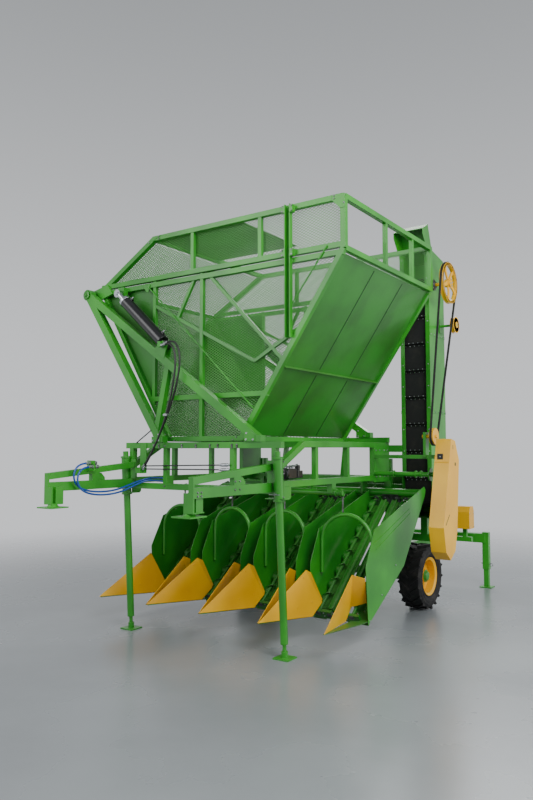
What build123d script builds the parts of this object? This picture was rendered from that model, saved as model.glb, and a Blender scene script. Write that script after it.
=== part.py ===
from build123d import *
import math
import os

# Four-row cotton boll harvester, parked on its wheels and legs.
# Millimetres, Z up. The machine's front faces -Y and its right side, seen from the front, is +X.
# Sizes are written about the row centre line (X), the line of the divider tips (Y) and the floor (Z).
# The whole machine is moved at the end so that the origin lies under its middle.

# Rows and dividers
ROWS = 4
ROW_PITCH = 700
DIVIDER_HALF = 85
OUTER_SHEET_X = 1396
SHEET = 4
SEAT_GAP = 0.3

POINT_THICK = 5
KNUCKLE = 185
POINT_TIP_Y = 8
POINT_FOLD_Y = 700
POINT_SEAT = 0.7
SKID_TIP_Y = 20
SKID_TIP_Z = 284
SKID_Z = 230
SKID_THICK = 6
SKID_BEND_Y = 760
SKID_BACK_Y = 980
SKID_OUTER_BACK_Y = 890
SKID_HALF = 150
PAN_DROP = 62
PAN_THICK = 4

# Header pivot tube and the slope of the rolls
ROLL_LOW_Y = 870
ROLL_LOW_Z = 275
ROLL_RISE_DEG = 38.5
ROLL_LENGTH = 1640
ROLL_OFFSET = 65
ROLL_CORE_R = 28
ROLL_R = 50
ROLL_BATS = 6
BAT_WIDE = 9
ROW_SHAFT_R = 15
AUGER_OFFSET = 185
AUGER_CORE_R = 16
AUGER_R = 48
AUGER_PITCH = 200
AUGER_LIFT = 12
FLIGHT_THICK = 6
GEARBOX_HALF = 100
GEARBOX_LONG = 100
GEARBOX_HIGH = 140
PIVOT_PAST_ROLLS = 60
PIVOT_ABOVE_ROLLS = 60
PIVOT_TUBE_R = 44.5
ROLL_COS = math.cos(math.radians(ROLL_RISE_DEG))
ROLL_SIN = math.sin(math.radians(ROLL_RISE_DEG))
PIVOT_Y = ROLL_LOW_Y + (ROLL_LENGTH + PIVOT_PAST_ROLLS) * ROLL_COS - PIVOT_ABOVE_ROLLS * ROLL_SIN
PIVOT_Z = ROLL_LOW_Z + (ROLL_LENGTH + PIVOT_PAST_ROLLS) * ROLL_SIN + PIVOT_ABOVE_ROLLS * ROLL_COS

# The rest of the machine is measured from the header's pivot: BACK_Y along it, HUB_Z and DECK_Z in height
BACK_Y = round(PIVOT_Y)
HUB_Z = round(PIVOT_Z)
DECK_Z = HUB_Z + 530

# Front frame, side frames and rear frame
FRAME_HALF = 980
RAIL = 60
TOP_RAIL_Z = DECK_Z
FRONT_BEAM_Z = DECK_Z - 415
FRONT_Y = 0
SIDE_X = 920
SIDE_TOP_Z = DECK_Z + 10
SIDE_LOW_Z = DECK_Z - 360
SIDE_POST_Y = 670
SIDE_POST_2_Y = 1330
SIDE_DIAGONAL_Y = 420
REAR_PLATE_Y = (BACK_Y - 233, BACK_Y + 167)
REAR_PLATE_THICK = 60
REAR_RAIL_Y = BACK_Y + 92
REAR_RAIL_Z = DECK_Z + 70
FRONT_POSTS_X = (-900, -430, 420, 900)
POST = 50

# Front legs
LEG_X = 960
LEG_FOOT_Y = 60
LEG_LEAN_DEG = 3.6
LEG_R = 35
SLEEVE_R = 46
SLEEVE_FROM = DECK_Z - 510
SLEEVE_TO = DECK_Z - 110
CAP_R = 28
CAP_HIGH = 50
LEG_BOTTOM = 130
SPINDLE_R = 18
SPINDLE_IN = 260
FOOT_SIDE = 160
FOOT_THICK = 12

# Hitch arms
ARM_X = 870
ARM_FRONT_Y = -1130
ARM_BEAM_WIDE = 50
ARM_LOW_Z = DECK_Z - 385
ARM_LOW_HIGH = 85
ARM_TOP_BACK_Z = DECK_Z - 200
ARM_TOP_FRONT_Z = DECK_Z - 288
ARM_TOP_HIGH = 60
ARM_BACK_Y = -38
ARM_PLATE = 16
ARM_BLOCK_Y = (-610, -520)
ARM_GUSSET_Y = -430
STUB_X = 838
STUB_Y = -1044
STUB_SIDE = 87
STUB_BOTTOM = DECK_Z - 545
PAD_X = 820
PAD_Z = DECK_Z - 571
PAD_THICK = 12
PAD_LONG = 200
PAD_WIDE = 200
PAD_Y = -1097
PAD_HOLE_R = 9
PAD_HOLE_X = 150
PAD_HOLE_Y = 150

# Chassis, axle and wheels
CHASSIS_X = 900
CHASSIS_WIDE = 80
CHASSIS_HIGH = 120
CHASSIS_Z = 660
CHASSIS_FRONT_Y = BACK_Y + 227
REAR_BEAM_Y = BACK_Y + 2257
REAR_LEG_X = 1410
REAR_SLEEVE_Z = (243, 740)
REAR_LEG_SIDE = 64
REAR_LEG_TOP = 560
REAR_BEAM = 120
REAR_PLATE_LOW_Z = DECK_Z - 410
CHASSIS_POST = 60
CHASSIS_POST_TOP = DECK_Z - 150
OUTRIGGER_Y = BACK_Y + 397
OUTRIGGER_Z = 850
WHEEL_Y = BACK_Y + 527
WHEEL_X = 1170
WHEEL_R = 380
TYRE_HALF = 135
RIM_R = 205
HUB_R = 75
SPINDLE_AXLE_R = 30
AXLE_TUBE_R = 50
LUGS = 18
LUG_HIGH = 30
LUG_WIDE = 26
LUG_LONG = 150
LUG_TURN = 38
LUG_OUT = 66

# Tipping basket
BASKET_FRONT_Y = 120
BASKET_REAR_Y = REAR_RAIL_Y - 120
BASKET_BAR = 50
BASKET_LEFT = (-1530, DECK_Z + 1750)
BASKET_LOW_LEFT = (-500, DECK_Z + 65)
BASKET_LOW_RIGHT = (430, DECK_Z + 65)
BASKET_RIGHT = (1560, DECK_Z + 1750)
BASKET_TOP_RIGHT = (1560, DECK_Z + 2220)
BASKET_TOP_LEFT = (-740, DECK_Z + 2220)
BASKET_SKIN = 4
MID_RAIL_GAP = 20
LOW_RAIL_Z = DECK_Z + 490
ROOF_TO_X = 390
ROOF_TO_Y = 1200
GUSSET_X = -720
MIDDLE_POST_X = -70
CAGE_POSTS_X = (-200, 650)
CAGE_POSTS_Y = (BASKET_FRONT_Y + 855, BASKET_FRONT_Y + 1505)
GUIDE_X = 1000
GUIDE_Z = (DECK_Z + 990, DECK_Z + 2240)

# Basket hinge, stands and tipping cylinders
TIP_X = -1620
TIP_Z = DECK_Z + 1690
TIP_PIN_R = 30
STAND_BAR = 80
STAND_FOOT_X = 707
STAND_FOOT_LEFT_X = -510
STAND_FOOT_Z = TOP_RAIL_Z + RAIL / 2
CYL_BASE = (-452, TIP_Z - 662)
CYL_EYE = (-1160, TIP_Z - 35)
BARREL_R = 65
ROD_R = 30
BARREL_EYE_R = 48
CYL_EYE_HALF = 28
BLOCK_GAP = 4

# Cross auger, trough and elevator
TROUGH_Y = BACK_Y + 557
TROUGH_Z = HUB_Z - 50
TROUGH_R = 200
TROUGH_LEFT_X = -1380
CROSS_AUGER_R = 165
CROSS_PITCH = 300
CROSS_SHAFT_R = 35
ELEVATOR_X = (1110, 1470)
ELEVATOR_Y = (BACK_Y + 172, BACK_Y + 637)
ELEVATOR_TOP_Z = DECK_Z + 2210
ELEVATOR_LOW_Z = HUB_Z - 290
ELEVATOR_BOOT_Y = BACK_Y + 772
ELEVATOR_BOOT_TOP = HUB_Z + 180
FLANGE = 50
DRUM_Y = BACK_Y + 317
DRUM_R = 85
DRUM_TOP_Z = DECK_Z + 1880
DRUM_LOW_Z = HUB_Z - 80
BELT = 8
SLAT_PITCH = 311
SLAT_FROM = 373
SLAT_HIGH = 36
SLAT_THICK = 12

# Drive on the right side
PULLEY_X = 1650
PULLEY_R = 235
PULLEY_WIDE = 46
SPOKE = 38
IDLER_SHARE = 0.2
IDLER_R = 85
IDLER_PIN_R = 15
BELT_THICK = 12
BELT_WIDE = 22
BEARING_X = 1560
CARRIER_Z = DECK_Z - 120
CARRIER_LOW_Z = DECK_Z - 310
REAR_GUARD_X = (1200, 1380)
REAR_GUARD_Y = REAR_BEAM_Y - 490
REAR_GUARD_Z = CHASSIS_Z + 170
LOW_PULLEY_Y = BACK_Y - 213
LOW_PULLEY_Z = DECK_Z + 100
LOW_PULLEY_R = 90
GUARD_X = (1740, 1900)
GUARD_WALL = 4
SHAFT_R = 20

# Where the origin goes
STAND_HEAD_R = 62
LEFT_EDGE = TIP_X - STAND_HEAD_R
RIGHT_EDGE = GUARD_X[1]
FRONT_EDGE = min(PAD_Y - PAD_LONG / 2, ARM_FRONT_Y - ARM_PLATE / 2)
REAR_EDGE = REAR_BEAM_Y + FOOT_SIDE / 2
SHIFT = (-(LEFT_EDGE + RIGHT_EDGE) / 2, -(FRONT_EDGE + REAR_EDGE) / 2, 0)


def between(a, b):
    # The length and the middle of the line from a to b
    a = Vector(*a)
    b = Vector(*b)
    return (b - a), (a + b) * 0.5


def bar(a, b, wide, high, up=(0, 0, 1)):
    # A straight box section from a to b, its width level and across it
    run, middle = between(a, b)
    side = run.cross(Vector(*up))
    plane = Plane(origin=middle, x_dir=side, z_dir=run)
    return plane * Box(wide, high, run.length)


def post(x, y, low, high, wide=POST, deep=POST):
    return Pos(x, y, (low + high) / 2) * Box(wide, deep, high - low)


def pipe(a, b, radius):
    run, middle = between(a, b)
    return Plane(origin=middle, z_dir=run) * Cylinder(radius, run.length)


def side_plate(outline, x, thick):
    # A plate across X, its outline given as Y and Z, centred on x
    face = Plane.YZ * make_face(Polyline(*outline, close=True))
    return Pos(x - thick / 2, 0, 0) * extrude(face, amount=thick)


def front_plate(outline, y, thick):
    # A plate across Y, its outline given as X and Z, from y towards +Y
    face = Plane.XZ * make_face(Polyline(*outline, close=True))
    return Pos(0, y + thick, 0) * extrude(face, amount=thick)


def panel(points, thick, order=None):
    # A flat plate through three or more points in space, thickened about its middle
    a, b, c = (Vector(*p) for p in points[:3])
    plane = Plane(origin=a, x_dir=b - a, z_dir=(b - a).cross(c - a))
    flat = [plane.to_local_coords(Vector(*p)) for p in points]
    if order:
        flat = [flat[i] for i in order]
    face = make_face(Polyline(*[(p.X, p.Y) for p in flat], close=True))
    return plane * extrude(face, amount=thick / 2, both=True)


def fuse(pieces):
    whole = pieces[0]
    for piece in pieces[1:]:
        whole = whole + piece
    return whole


def row_point(x, along, up=0):
    # A point measured along the slope of the rolls and square to it
    y = ROLL_LOW_Y + along * ROLL_COS - up * ROLL_SIN
    z = ROLL_LOW_Z + along * ROLL_SIN + up * ROLL_COS
    return (x, y, z)


def row_plane(x, along, up=0):
    return Plane(origin=row_point(x, along, up), x_dir=(1, 0, 0), z_dir=(0, ROLL_COS, ROLL_SIN))


ROW_X = [(i - (ROWS - 1) / 2) * ROW_PITCH for i in range(ROWS)]
DIVIDER_X = [(i - ROWS / 2) * ROW_PITCH for i in range(1, ROWS)]
POINT_X = [(i - ROWS / 2) * ROW_PITCH for i in range(ROWS + 1)]


def front_frame():
    parts = [
        bar((-FRAME_HALF, FRONT_Y, TOP_RAIL_Z), (FRAME_HALF, FRONT_Y, TOP_RAIL_Z), RAIL, RAIL),
        bar((-FRAME_HALF, FRONT_Y, FRONT_BEAM_Z), (FRAME_HALF, FRONT_Y, FRONT_BEAM_Z), RAIL, RAIL),
    ]
    for x in FRONT_POSTS_X:
        deep = RAIL if abs(x) > SIDE_X - RAIL else POST
        parts.append(post(x, FRONT_Y, FRONT_BEAM_Z, TOP_RAIL_Z, deep=deep))
    return fuse(parts + frame_ports())


def leg_axis(z):
    # The middle of the leaning leg tube at height z
    return LEG_FOOT_Y - z * math.tan(math.radians(LEG_LEAN_DEG))


def leg_point(x, z):
    return (x, leg_axis(z), z)


def leg_tube(side):
    x = side * LEG_X
    tube = pipe(leg_point(x, LEG_BOTTOM), leg_point(x, SLEEVE_TO), LEG_R)
    sleeve = pipe(leg_point(x, SLEEVE_FROM), leg_point(x, SLEEVE_TO), SLEEVE_R)
    bore = pipe(leg_point(x, LEG_BOTTOM - 1), leg_point(x, LEG_BOTTOM + SPINDLE_IN), SPINDLE_R + SEAT_GAP)
    leg = tube + sleeve
    for z in (SLEEVE_FROM + 10, SLEEVE_TO - 10):
        leg += pipe(leg_point(x, z - 8), leg_point(x, z + 8), SLEEVE_R + 8)
    leg += pipe(leg_point(x, SLEEVE_TO - 5), leg_point(x, SLEEVE_TO + CAP_HIGH), CAP_R)
    return leg - bore - front_frame()


def front_foot(side):
    x = side * LEG_X
    y = leg_axis(0)
    spindle = pipe(leg_point(x, FOOT_THICK / 2), leg_point(x, LEG_BOTTOM + SPINDLE_IN - 130), SPINDLE_R)
    collar = pipe(leg_point(x, FOOT_THICK), leg_point(x, LEG_BOTTOM / 2), SPINDLE_R + 12)
    foot = Pos(x, y, FOOT_THICK / 2) * Box(FOOT_SIDE, FOOT_SIDE, FOOT_THICK)
    return foot + spindle + collar - Pos(x, y, -50) * Box(400, 400, 100)


def hitch_arm(side):
    x = side * ARM_X
    low = bar((x, ARM_BACK_Y, ARM_LOW_Z), (x, ARM_FRONT_Y, ARM_LOW_Z), ARM_BEAM_WIDE, ARM_LOW_HIGH)
    top = bar((x, ARM_BACK_Y, ARM_TOP_BACK_Z), (x, ARM_FRONT_Y, ARM_TOP_FRONT_Z), ARM_BEAM_WIDE, ARM_TOP_HIGH)
    back_low = ARM_LOW_Z - ARM_LOW_HIGH / 2
    back_high = ARM_TOP_BACK_Z + ARM_TOP_HIGH
    back = post(x, (ARM_BACK_Y + FRONT_Y - RAIL / 2) / 2, back_low, back_high, ARM_BEAM_WIDE + 20, FRONT_Y - RAIL / 2 - ARM_BACK_Y)
    end = post(x, ARM_FRONT_Y, STUB_BOTTOM, ARM_TOP_FRONT_Z + ARM_TOP_HIGH / 2, ARM_BEAM_WIDE, ARM_PLATE)
    stub_x = side * STUB_X
    stub = post(stub_x, STUB_Y, STUB_BOTTOM, ARM_LOW_Z, STUB_SIDE, STUB_SIDE)
    inner = STUB_X - STUB_SIDE / 2
    outer = ARM_X + ARM_BEAM_WIDE / 2
    apron = post(side * (inner + outer) / 2, ARM_FRONT_Y, STUB_BOTTOM, ARM_LOW_Z, outer - inner, ARM_PLATE)
    web = post(stub_x, (ARM_FRONT_Y + STUB_Y) / 2, STUB_BOTTOM, ARM_LOW_Z, ARM_PLATE, STUB_Y - ARM_FRONT_Y)
    sole_back = STUB_Y + STUB_SIDE / 2
    sole_front = ARM_FRONT_Y - ARM_PLATE / 2
    sole = Pos(side * (inner + outer) / 2, (sole_back + sole_front) / 2, STUB_BOTTOM + 5) * Box(
        outer - inner, sole_back - sole_front, 10
    )
    neck_top = STUB_BOTTOM + 5
    neck_low = PAD_Z + PAD_THICK / 2
    neck = Pos(side * PAD_X, PAD_Y, (neck_top + neck_low) / 2) * Cone(55, 36, neck_top - neck_low)
    pad = Pos(side * PAD_X, PAD_Y, PAD_Z) * Box(PAD_WIDE, PAD_LONG, PAD_THICK)
    y0, y1 = ARM_BLOCK_Y
    block = post(x, (y0 + y1) / 2, ARM_LOW_Z, ARM_TOP_FRONT_Z + 20, ARM_BEAM_WIDE, y1 - y0)
    gusset = side_plate(
        [
            (y1, ARM_LOW_Z),
            (y1, ARM_TOP_FRONT_Z + 20),
            (y1 + 45, ARM_TOP_FRONT_Z + 15),
            (ARM_GUSSET_Y, ARM_TOP_FRONT_Z - 30),
            (ARM_GUSSET_Y, ARM_LOW_Z),
        ],
        x,
        ARM_PLATE,
    )
    holes = []
    for dx in (-1, 1):
        for dy in (-1, 1):
            hole_x = side * PAD_X + dx * PAD_HOLE_X / 2
            holes.append(Pos(hole_x, PAD_Y + dy * PAD_HOLE_Y / 2, PAD_Z) * Cylinder(PAD_HOLE_R, 40))
    parts = [low, top, back, end, stub, apron, web, sole, neck, pad, block, gusset]
    if side < 0:
        parts += blue_ports()
    return fuse(parts) - holes - leg_tube(side)


def side_frame(side):
    x = side * SIDE_X
    parts = [
        bar((x, SIDE_DIAGONAL_Y, SIDE_TOP_Z), (x, REAR_PLATE_Y[1], SIDE_TOP_Z), RAIL, RAIL),
        bar((x, FRONT_Y, SIDE_LOW_Z), (x, REAR_PLATE_Y[1], SIDE_LOW_Z), RAIL, RAIL),
        bar((x, FRONT_Y, SIDE_TOP_Z - 220), (x, SIDE_DIAGONAL_Y + 15, SIDE_TOP_Z), RAIL, RAIL),
        post(x, SIDE_POST_Y, SIDE_LOW_Z, SIDE_TOP_Z),
        post(x, SIDE_POST_2_Y, SIDE_LOW_Z, SIDE_TOP_Z),
    ]
    low, high = REAR_PLATE_Y
    middle = (low + high) / 2
    parts.append(Pos(x, middle, (REAR_PLATE_LOW_Z + SIDE_TOP_Z) / 2) * Box(REAR_PLATE_THICK, high - low, SIDE_TOP_Z - REAR_PLATE_LOW_Z))
    if side > 0:
        reach = ELEVATOR_X[0] - x - REAR_PLATE_THICK / 2
        tie_x = x + REAR_PLATE_THICK / 2 + reach / 2
        parts.append(Pos(tie_x, ELEVATOR_Y[0], SIDE_TOP_Z - 40) * Box(reach, 50, 80))
    frame = fuse(parts)
    front = FRONT_Y + RAIL / 2
    cut = Pos(0, front - 500, SIDE_LOW_Z) * Box(3000, 1000, 1500)
    return frame - cut - leg_tube(side)


def upper_frame():
    # Both side trusses with the beams under the basket and the pipe that the header's chains hang from
    half = SIDE_X - RAIL / 2
    z = BASKET_LOW_LEFT[1] - BASKET_BAR / 2 - SEAT_GAP - RAIL / 2
    parts = [side_frame(-1), side_frame(1), lift_pipe()]
    for y in (SIDE_POST_Y, SIDE_POST_2_Y):
        parts.append(bar((-half, y, z), (half, y, z), RAIL, RAIL))
    return fuse(parts)


def rear_frame():
    inner = SIDE_X - REAR_PLATE_THICK / 2
    half = RAIL / 2
    top = bar((-FRAME_HALF, REAR_RAIL_Y, REAR_RAIL_Z), (FRAME_HALF, REAR_RAIL_Y, REAR_RAIL_Z), RAIL, RAIL)
    low = bar((-inner, PIVOT_Y, REAR_PLATE_LOW_Z + half), (inner, PIVOT_Y, REAR_PLATE_LOW_Z + half), RAIL, RAIL)
    parts = [low]
    for x in (0, *(side * (ROW_PITCH) for side in (-1, 1))):
        lug = side_plate(
            [
                (PIVOT_Y - 60, REAR_PLATE_LOW_Z + half),
                (PIVOT_Y - 60, PIVOT_Z - 20),
                (PIVOT_Y - 25, PIVOT_Z - 62),
                (PIVOT_Y + 25, PIVOT_Z - 62),
                (PIVOT_Y + 60, PIVOT_Z - 20),
                (PIVOT_Y + 60, REAR_PLATE_LOW_Z + half),
            ],
            x,
            24,
        )
        parts.append(lug)
    for x in FRONT_POSTS_X[1:3]:
        strut = bar((x, PIVOT_Y, REAR_PLATE_LOW_Z + half), (x, REAR_RAIL_Y, REAR_RAIL_Z), POST, POST, up=(1, 0, 0))
        parts.append(strut)
    frame = fuse(parts + [top])
    bore = pipe((-1500, PIVOT_Y, PIVOT_Z), (1500, PIVOT_Y, PIVOT_Z), PIVOT_TUBE_R + SEAT_GAP)
    return frame - bore


def stand(y):
    foot_z = STAND_FOOT_Z if y < BASKET_FRONT_Y else REAR_RAIL_Z + RAIL / 2
    half = STAND_BAR / 2
    diagonal = bar((TIP_X, y, TIP_Z), (STAND_FOOT_X, y, foot_z + 30), STAND_BAR, STAND_BAR, up=(0, 1, 0))
    strut = bar((TIP_X, y, TIP_Z), (STAND_FOOT_LEFT_X, y, foot_z + 30), STAND_BAR, STAND_BAR, up=(0, 1, 0))
    share = 0.52
    brace_top = (TIP_X + (STAND_FOOT_X - TIP_X) * share, y, TIP_Z + (foot_z - TIP_Z) * share)
    brace = bar(brace_top, (STAND_FOOT_LEFT_X - 60, y, foot_z + 60), 60, 60, up=(0, 1, 0))
    head = Pos(TIP_X, y, TIP_Z) * Rot(90, 0, 0) * Cylinder(STAND_HEAD_R, STAND_BAR)
    feet = []
    for x in (STAND_FOOT_X - 20, STAND_FOOT_LEFT_X - 20):
        feet.append(Pos(x, y, foot_z + 30) * Box(150, STAND_BAR, 60))
    inward = 1 if y < BASKET_FRONT_Y else -1
    body = fuse([diagonal, strut, brace, head] + feet)
    pin = pipe((TIP_X, y - inward * 50, TIP_Z), (TIP_X, y + inward * 95, TIP_Z), TIP_PIN_R)
    body = body + pin
    for dy in (-1, 1):
        centre = y + dy * (CYL_EYE_HALF + 9)
        run = Vector(STAND_FOOT_X - TIP_X, 0, foot_z - TIP_Z).normalized()
        lift = Vector(-run.Z, 0, run.X)
        base = Vector(CYL_BASE[0], centre, CYL_BASE[1])
        low = base - lift * 110
        outline = [
            (base + run * 40 + lift * 30),
            (base - run * 40 + lift * 30),
            (low - run * 90),
            (low + run * 90),
        ]
        body = body + panel([tuple(p) for p in outline], 16)
    cyl_pin = pipe((CYL_BASE[0], y - 60, CYL_BASE[1]), (CYL_BASE[0], y + 60, CYL_BASE[1]), 20)
    body = body + cyl_pin
    if y < BASKET_FRONT_Y:
        body = fuse([body] + black_ports())
    floor = Pos(0, y, foot_z - 200) * Box(4000, 400, 400)
    return body - floor


def chassis():
    parts = []
    for side in (-1, 1):
        x = side * CHASSIS_X
        parts.append(bar((x, CHASSIS_FRONT_Y, CHASSIS_Z), (x, REAR_BEAM_Y, CHASSIS_Z), CHASSIS_WIDE, CHASSIS_HIGH))
        post_y = CHASSIS_FRONT_Y + CHASSIS_POST / 2
        parts.append(post(x, post_y, CHASSIS_Z, CHASSIS_POST_TOP, CHASSIS_WIDE, CHASSIS_POST))
        tie = Pos(x, (REAR_PLATE_Y[1] + post_y) / 2, CHASSIS_POST_TOP - 60) * Box(
            REAR_PLATE_THICK, post_y - REAR_PLATE_Y[1], 120
        )
        parts.append(tie)
        parts.append(post(x, TROUGH_Y, CHASSIS_Z, TROUGH_Z - 120, 60, 60))
        parts.append(post(x, WHEEL_Y, WHEEL_R - 60, CHASSIS_Z, CHASSIS_WIDE, 120))
        spindle = pipe((x, WHEEL_Y, WHEEL_R), (side * (WHEEL_X + 60), WHEEL_Y, WHEEL_R), SPINDLE_AXLE_R)
        parts.append(spindle)
    parts.append(pipe((-CHASSIS_X, WHEEL_Y, WHEEL_R), (CHASSIS_X, WHEEL_Y, WHEEL_R), AXLE_TUBE_R))
    parts.append(bar((-REAR_LEG_X, REAR_BEAM_Y, CHASSIS_Z), (REAR_LEG_X, REAR_BEAM_Y, CHASSIS_Z), REAR_BEAM, REAR_BEAM))
    for side in (-1, 1):
        parts.append(post(side * REAR_LEG_X, REAR_BEAM_Y, REAR_SLEEVE_Z[0], REAR_SLEEVE_Z[1], 84, 84))
    parts.append(post(CHASSIS_X, OUTRIGGER_Y, CHASSIS_Z, OUTRIGGER_Z, CHASSIS_WIDE, 80))
    parts.append(bar((CHASSIS_X - 40, OUTRIGGER_Y, OUTRIGGER_Z), (ELEVATOR_X[1], OUTRIGGER_Y, OUTRIGGER_Z), 80, 80))
    middle_x = sum(ELEVATOR_X) / 2
    parts.append(post(middle_x, OUTRIGGER_Y, OUTRIGGER_Z, ELEVATOR_LOW_Z, 80, 80))
    guard_x = sum(REAR_GUARD_X) / 2
    cross_z = CHASSIS_Z + 30
    parts.append(bar((-CHASSIS_X, REAR_GUARD_Y, cross_z), (REAR_GUARD_X[1], REAR_GUARD_Y, cross_z), 60, 60))
    parts.append(post(guard_x, REAR_GUARD_Y, cross_z, REAR_GUARD_Z, 50, 50))
    frame = fuse(parts)
    outer = TROUGH_R + SHEET + SEAT_GAP
    frame = frame - pipe((TROUGH_LEFT_X, TROUGH_Y, TROUGH_Z), (ELEVATOR_X[0], TROUGH_Y, TROUGH_Z), outer)
    for side in (-1, 1):
        hole = REAR_LEG_SIDE + 2 * SEAT_GAP
        frame = frame - post(side * REAR_LEG_X, REAR_BEAM_Y, 200, 700, hole, hole)
    return frame


def rear_foot(side):
    x = side * REAR_LEG_X
    tube = post(x, REAR_BEAM_Y, 5, REAR_LEG_TOP, REAR_LEG_SIDE, REAR_LEG_SIDE)
    foot = Pos(x, REAR_BEAM_Y, FOOT_THICK / 2) * Box(FOOT_SIDE, FOOT_SIDE, FOOT_THICK)
    return tube + foot


def rim(side):
    outline = [
        (SPINDLE_AXLE_R + SEAT_GAP, -40),
        (HUB_R, -40),
        (HUB_R, -6),
        (150, -14),
        (RIM_R - 14, 0),
        (RIM_R - 14, -100),
        (RIM_R + 16, -116),
        (RIM_R + 16, -108),
        (RIM_R - 6, -92),
        (RIM_R - 6, 92),
        (RIM_R + 16, 108),
        (RIM_R + 16, 116),
        (RIM_R - 14, 100),
        (RIM_R - 14, 14),
        (150, 2),
        (HUB_R, 10),
        (HUB_R, 60),
        (SPINDLE_AXLE_R + SEAT_GAP, 60),
    ]
    face = make_face(Plane.XZ * Polyline(*outline, close=True))
    wheel = revolve(face, axis=Axis.Z)
    return Pos(side * WHEEL_X, WHEEL_Y, WHEEL_R) * Rot(0, 90 * side, 0) * wheel


def tyre(side):
    bead = RIM_R - 6 + SEAT_GAP
    outline = [
        (bead, -91),
        (RIM_R + 20, -105),
        (RIM_R + 70, -TYRE_HALF),
        (WHEEL_R - 55, -TYRE_HALF + 2),
        (WHEEL_R - 26, -TYRE_HALF + 22),
        (WHEEL_R - 20, 0),
        (WHEEL_R - 26, TYRE_HALF - 22),
        (WHEEL_R - 55, TYRE_HALF - 2),
        (RIM_R + 70, TYRE_HALF),
        (RIM_R + 20, 105),
        (bead, 91),
        (RIM_R + 30, 60),
        (RIM_R + 30, -60),
    ]
    face = make_face(Plane.XZ * Polyline(*outline, close=True))
    body = revolve(face, axis=Axis.Z)
    reach = LUG_LONG / 2 * math.sin(math.radians(LUG_TURN)) + LUG_WIDE / 2 * math.cos(math.radians(LUG_TURN))
    lug_top = math.sqrt(WHEEL_R**2 - reach**2)
    for i in range(LUGS):
        for face_side in (-1, 1):
            turn = 360 / LUGS * (i + (0.5 if face_side > 0 else 0))
            lug = Rot(face_side * LUG_TURN, 0, 0) * Box(LUG_HIGH, LUG_WIDE, LUG_LONG)
            body = body + Rot(0, 0, turn) * Pos(lug_top - LUG_HIGH / 2, 0, face_side * LUG_OUT) * lug
    return Pos(side * WHEEL_X, WHEEL_Y, WHEEL_R) * Rot(0, 90 * side, 0) * body


def pivot_tube():
    half = OUTER_SHEET_X - SHEET / 2
    return pipe((-half, PIVOT_Y, PIVOT_Z), (half, PIVOT_Y, PIVOT_Z), PIVOT_TUBE_R)


MID_OUTLINE = [
    (800, 230),
    (800, 740),
    (975, 1065),
    (BACK_Y + 67, HUB_Z + 52),
    (BACK_Y + 137, HUB_Z + 78),
    (BACK_Y + 182, HUB_Z + 30),
    (BACK_Y + 147, HUB_Z - 40),
    (BACK_Y - 473, HUB_Z - 737),
    (980, 230),
]
OUTER_OUTLINE = [
    (850, 195),
    (805, 743),
    (1000, 1083),
    (BACK_Y + 17, HUB_Z + 45),
    (BACK_Y + 117, HUB_Z + 70),
    (BACK_Y + 157, HUB_Z + 30),
    (BACK_Y + 127, HUB_Z - 40),
    (BACK_Y - 473, HUB_Z - 737),
]


def sheets():
    hole = pipe((-1500, PIVOT_Y, PIVOT_Z), (1500, PIVOT_Y, PIVOT_Z), PIVOT_TUBE_R + SEAT_GAP)
    plates = []
    for x in DIVIDER_X:
        for side in (-1, 1):
            plates.append(side_plate(MID_OUTLINE, x + side * DIVIDER_HALF, SHEET) - hole)
    for side in (-1, 1):
        plates.append(side_plate(OUTER_OUTLINE, side * OUTER_SHEET_X, SHEET))
    return plates


def gearboxes():
    hole = pipe((-1500, PIVOT_Y, PIVOT_Z), (1500, PIVOT_Y, PIVOT_Z), PIVOT_TUBE_R + SEAT_GAP)
    boxes = []
    for x in ROW_X:
        place = row_plane(x, ROLL_LENGTH + GEARBOX_LONG / 2 + 10)
        box = place * Box(2 * GEARBOX_HALF, GEARBOX_HIGH, GEARBOX_LONG)
        boxes.append(box - hole)
    return boxes


def roll():
    profile = Circle(ROLL_CORE_R)
    for i in range(ROLL_BATS):
        profile += Rot(0, 0, 360 / ROLL_BATS * i) * Pos(ROLL_R / 2, 0) * Rectangle(ROLL_R, BAT_WIDE)
    body = extrude(profile, amount=ROLL_LENGTH - 40)
    shaft = Cylinder(ROW_SHAFT_R, ROLL_LENGTH + 60 + 10 - SEAT_GAP, align=(Align.CENTER, Align.CENTER, Align.MIN))
    return body + Pos(0, 0, -60) * shaft


def flighting(inner, outer, pitch, length, thick):
    # One turn's worth of angle for each pitch, as a thin radial blade twisted along the shaft
    wide = thick / pitch * 2 * math.pi
    blade = Polyline(
        (inner - 3, -inner * wide / 2),
        (outer, -outer * wide / 2),
        (outer, outer * wide / 2),
        (inner - 3, inner * wide / 2),
        close=True,
    )
    face = make_face(blade).faces()[0]
    return Solid.extrude_linear_with_rotation(face, center=(0, 0, 0), normal=(0, 0, length), angle=360 * length / pitch)


def side_auger():
    shaft = Pos(0, 0, -60) * Cylinder(AUGER_CORE_R, ROLL_LENGTH + 85, align=(Align.CENTER, Align.CENTER, Align.MIN))
    flight = flighting(AUGER_CORE_R, AUGER_R, AUGER_PITCH, ROLL_LENGTH - 40, FLIGHT_THICK)
    return shaft + Pos(0, 0, 10) * flight


def cross_auger():
    left = TROUGH_LEFT_X + SEAT_GAP
    right = ELEVATOR_X[1] - SHEET - SEAT_GAP
    shaft = pipe((left, TROUGH_Y, TROUGH_Z), (right, TROUGH_Y, TROUGH_Z), CROSS_SHAFT_R)
    length = ELEVATOR_X[0] - left - 40
    flight = flighting(CROSS_SHAFT_R, CROSS_AUGER_R, CROSS_PITCH, length, 8)
    place = Plane(origin=(left + 20, TROUGH_Y, TROUGH_Z), z_dir=(1, 0, 0))
    return shaft + place * flight


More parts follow.
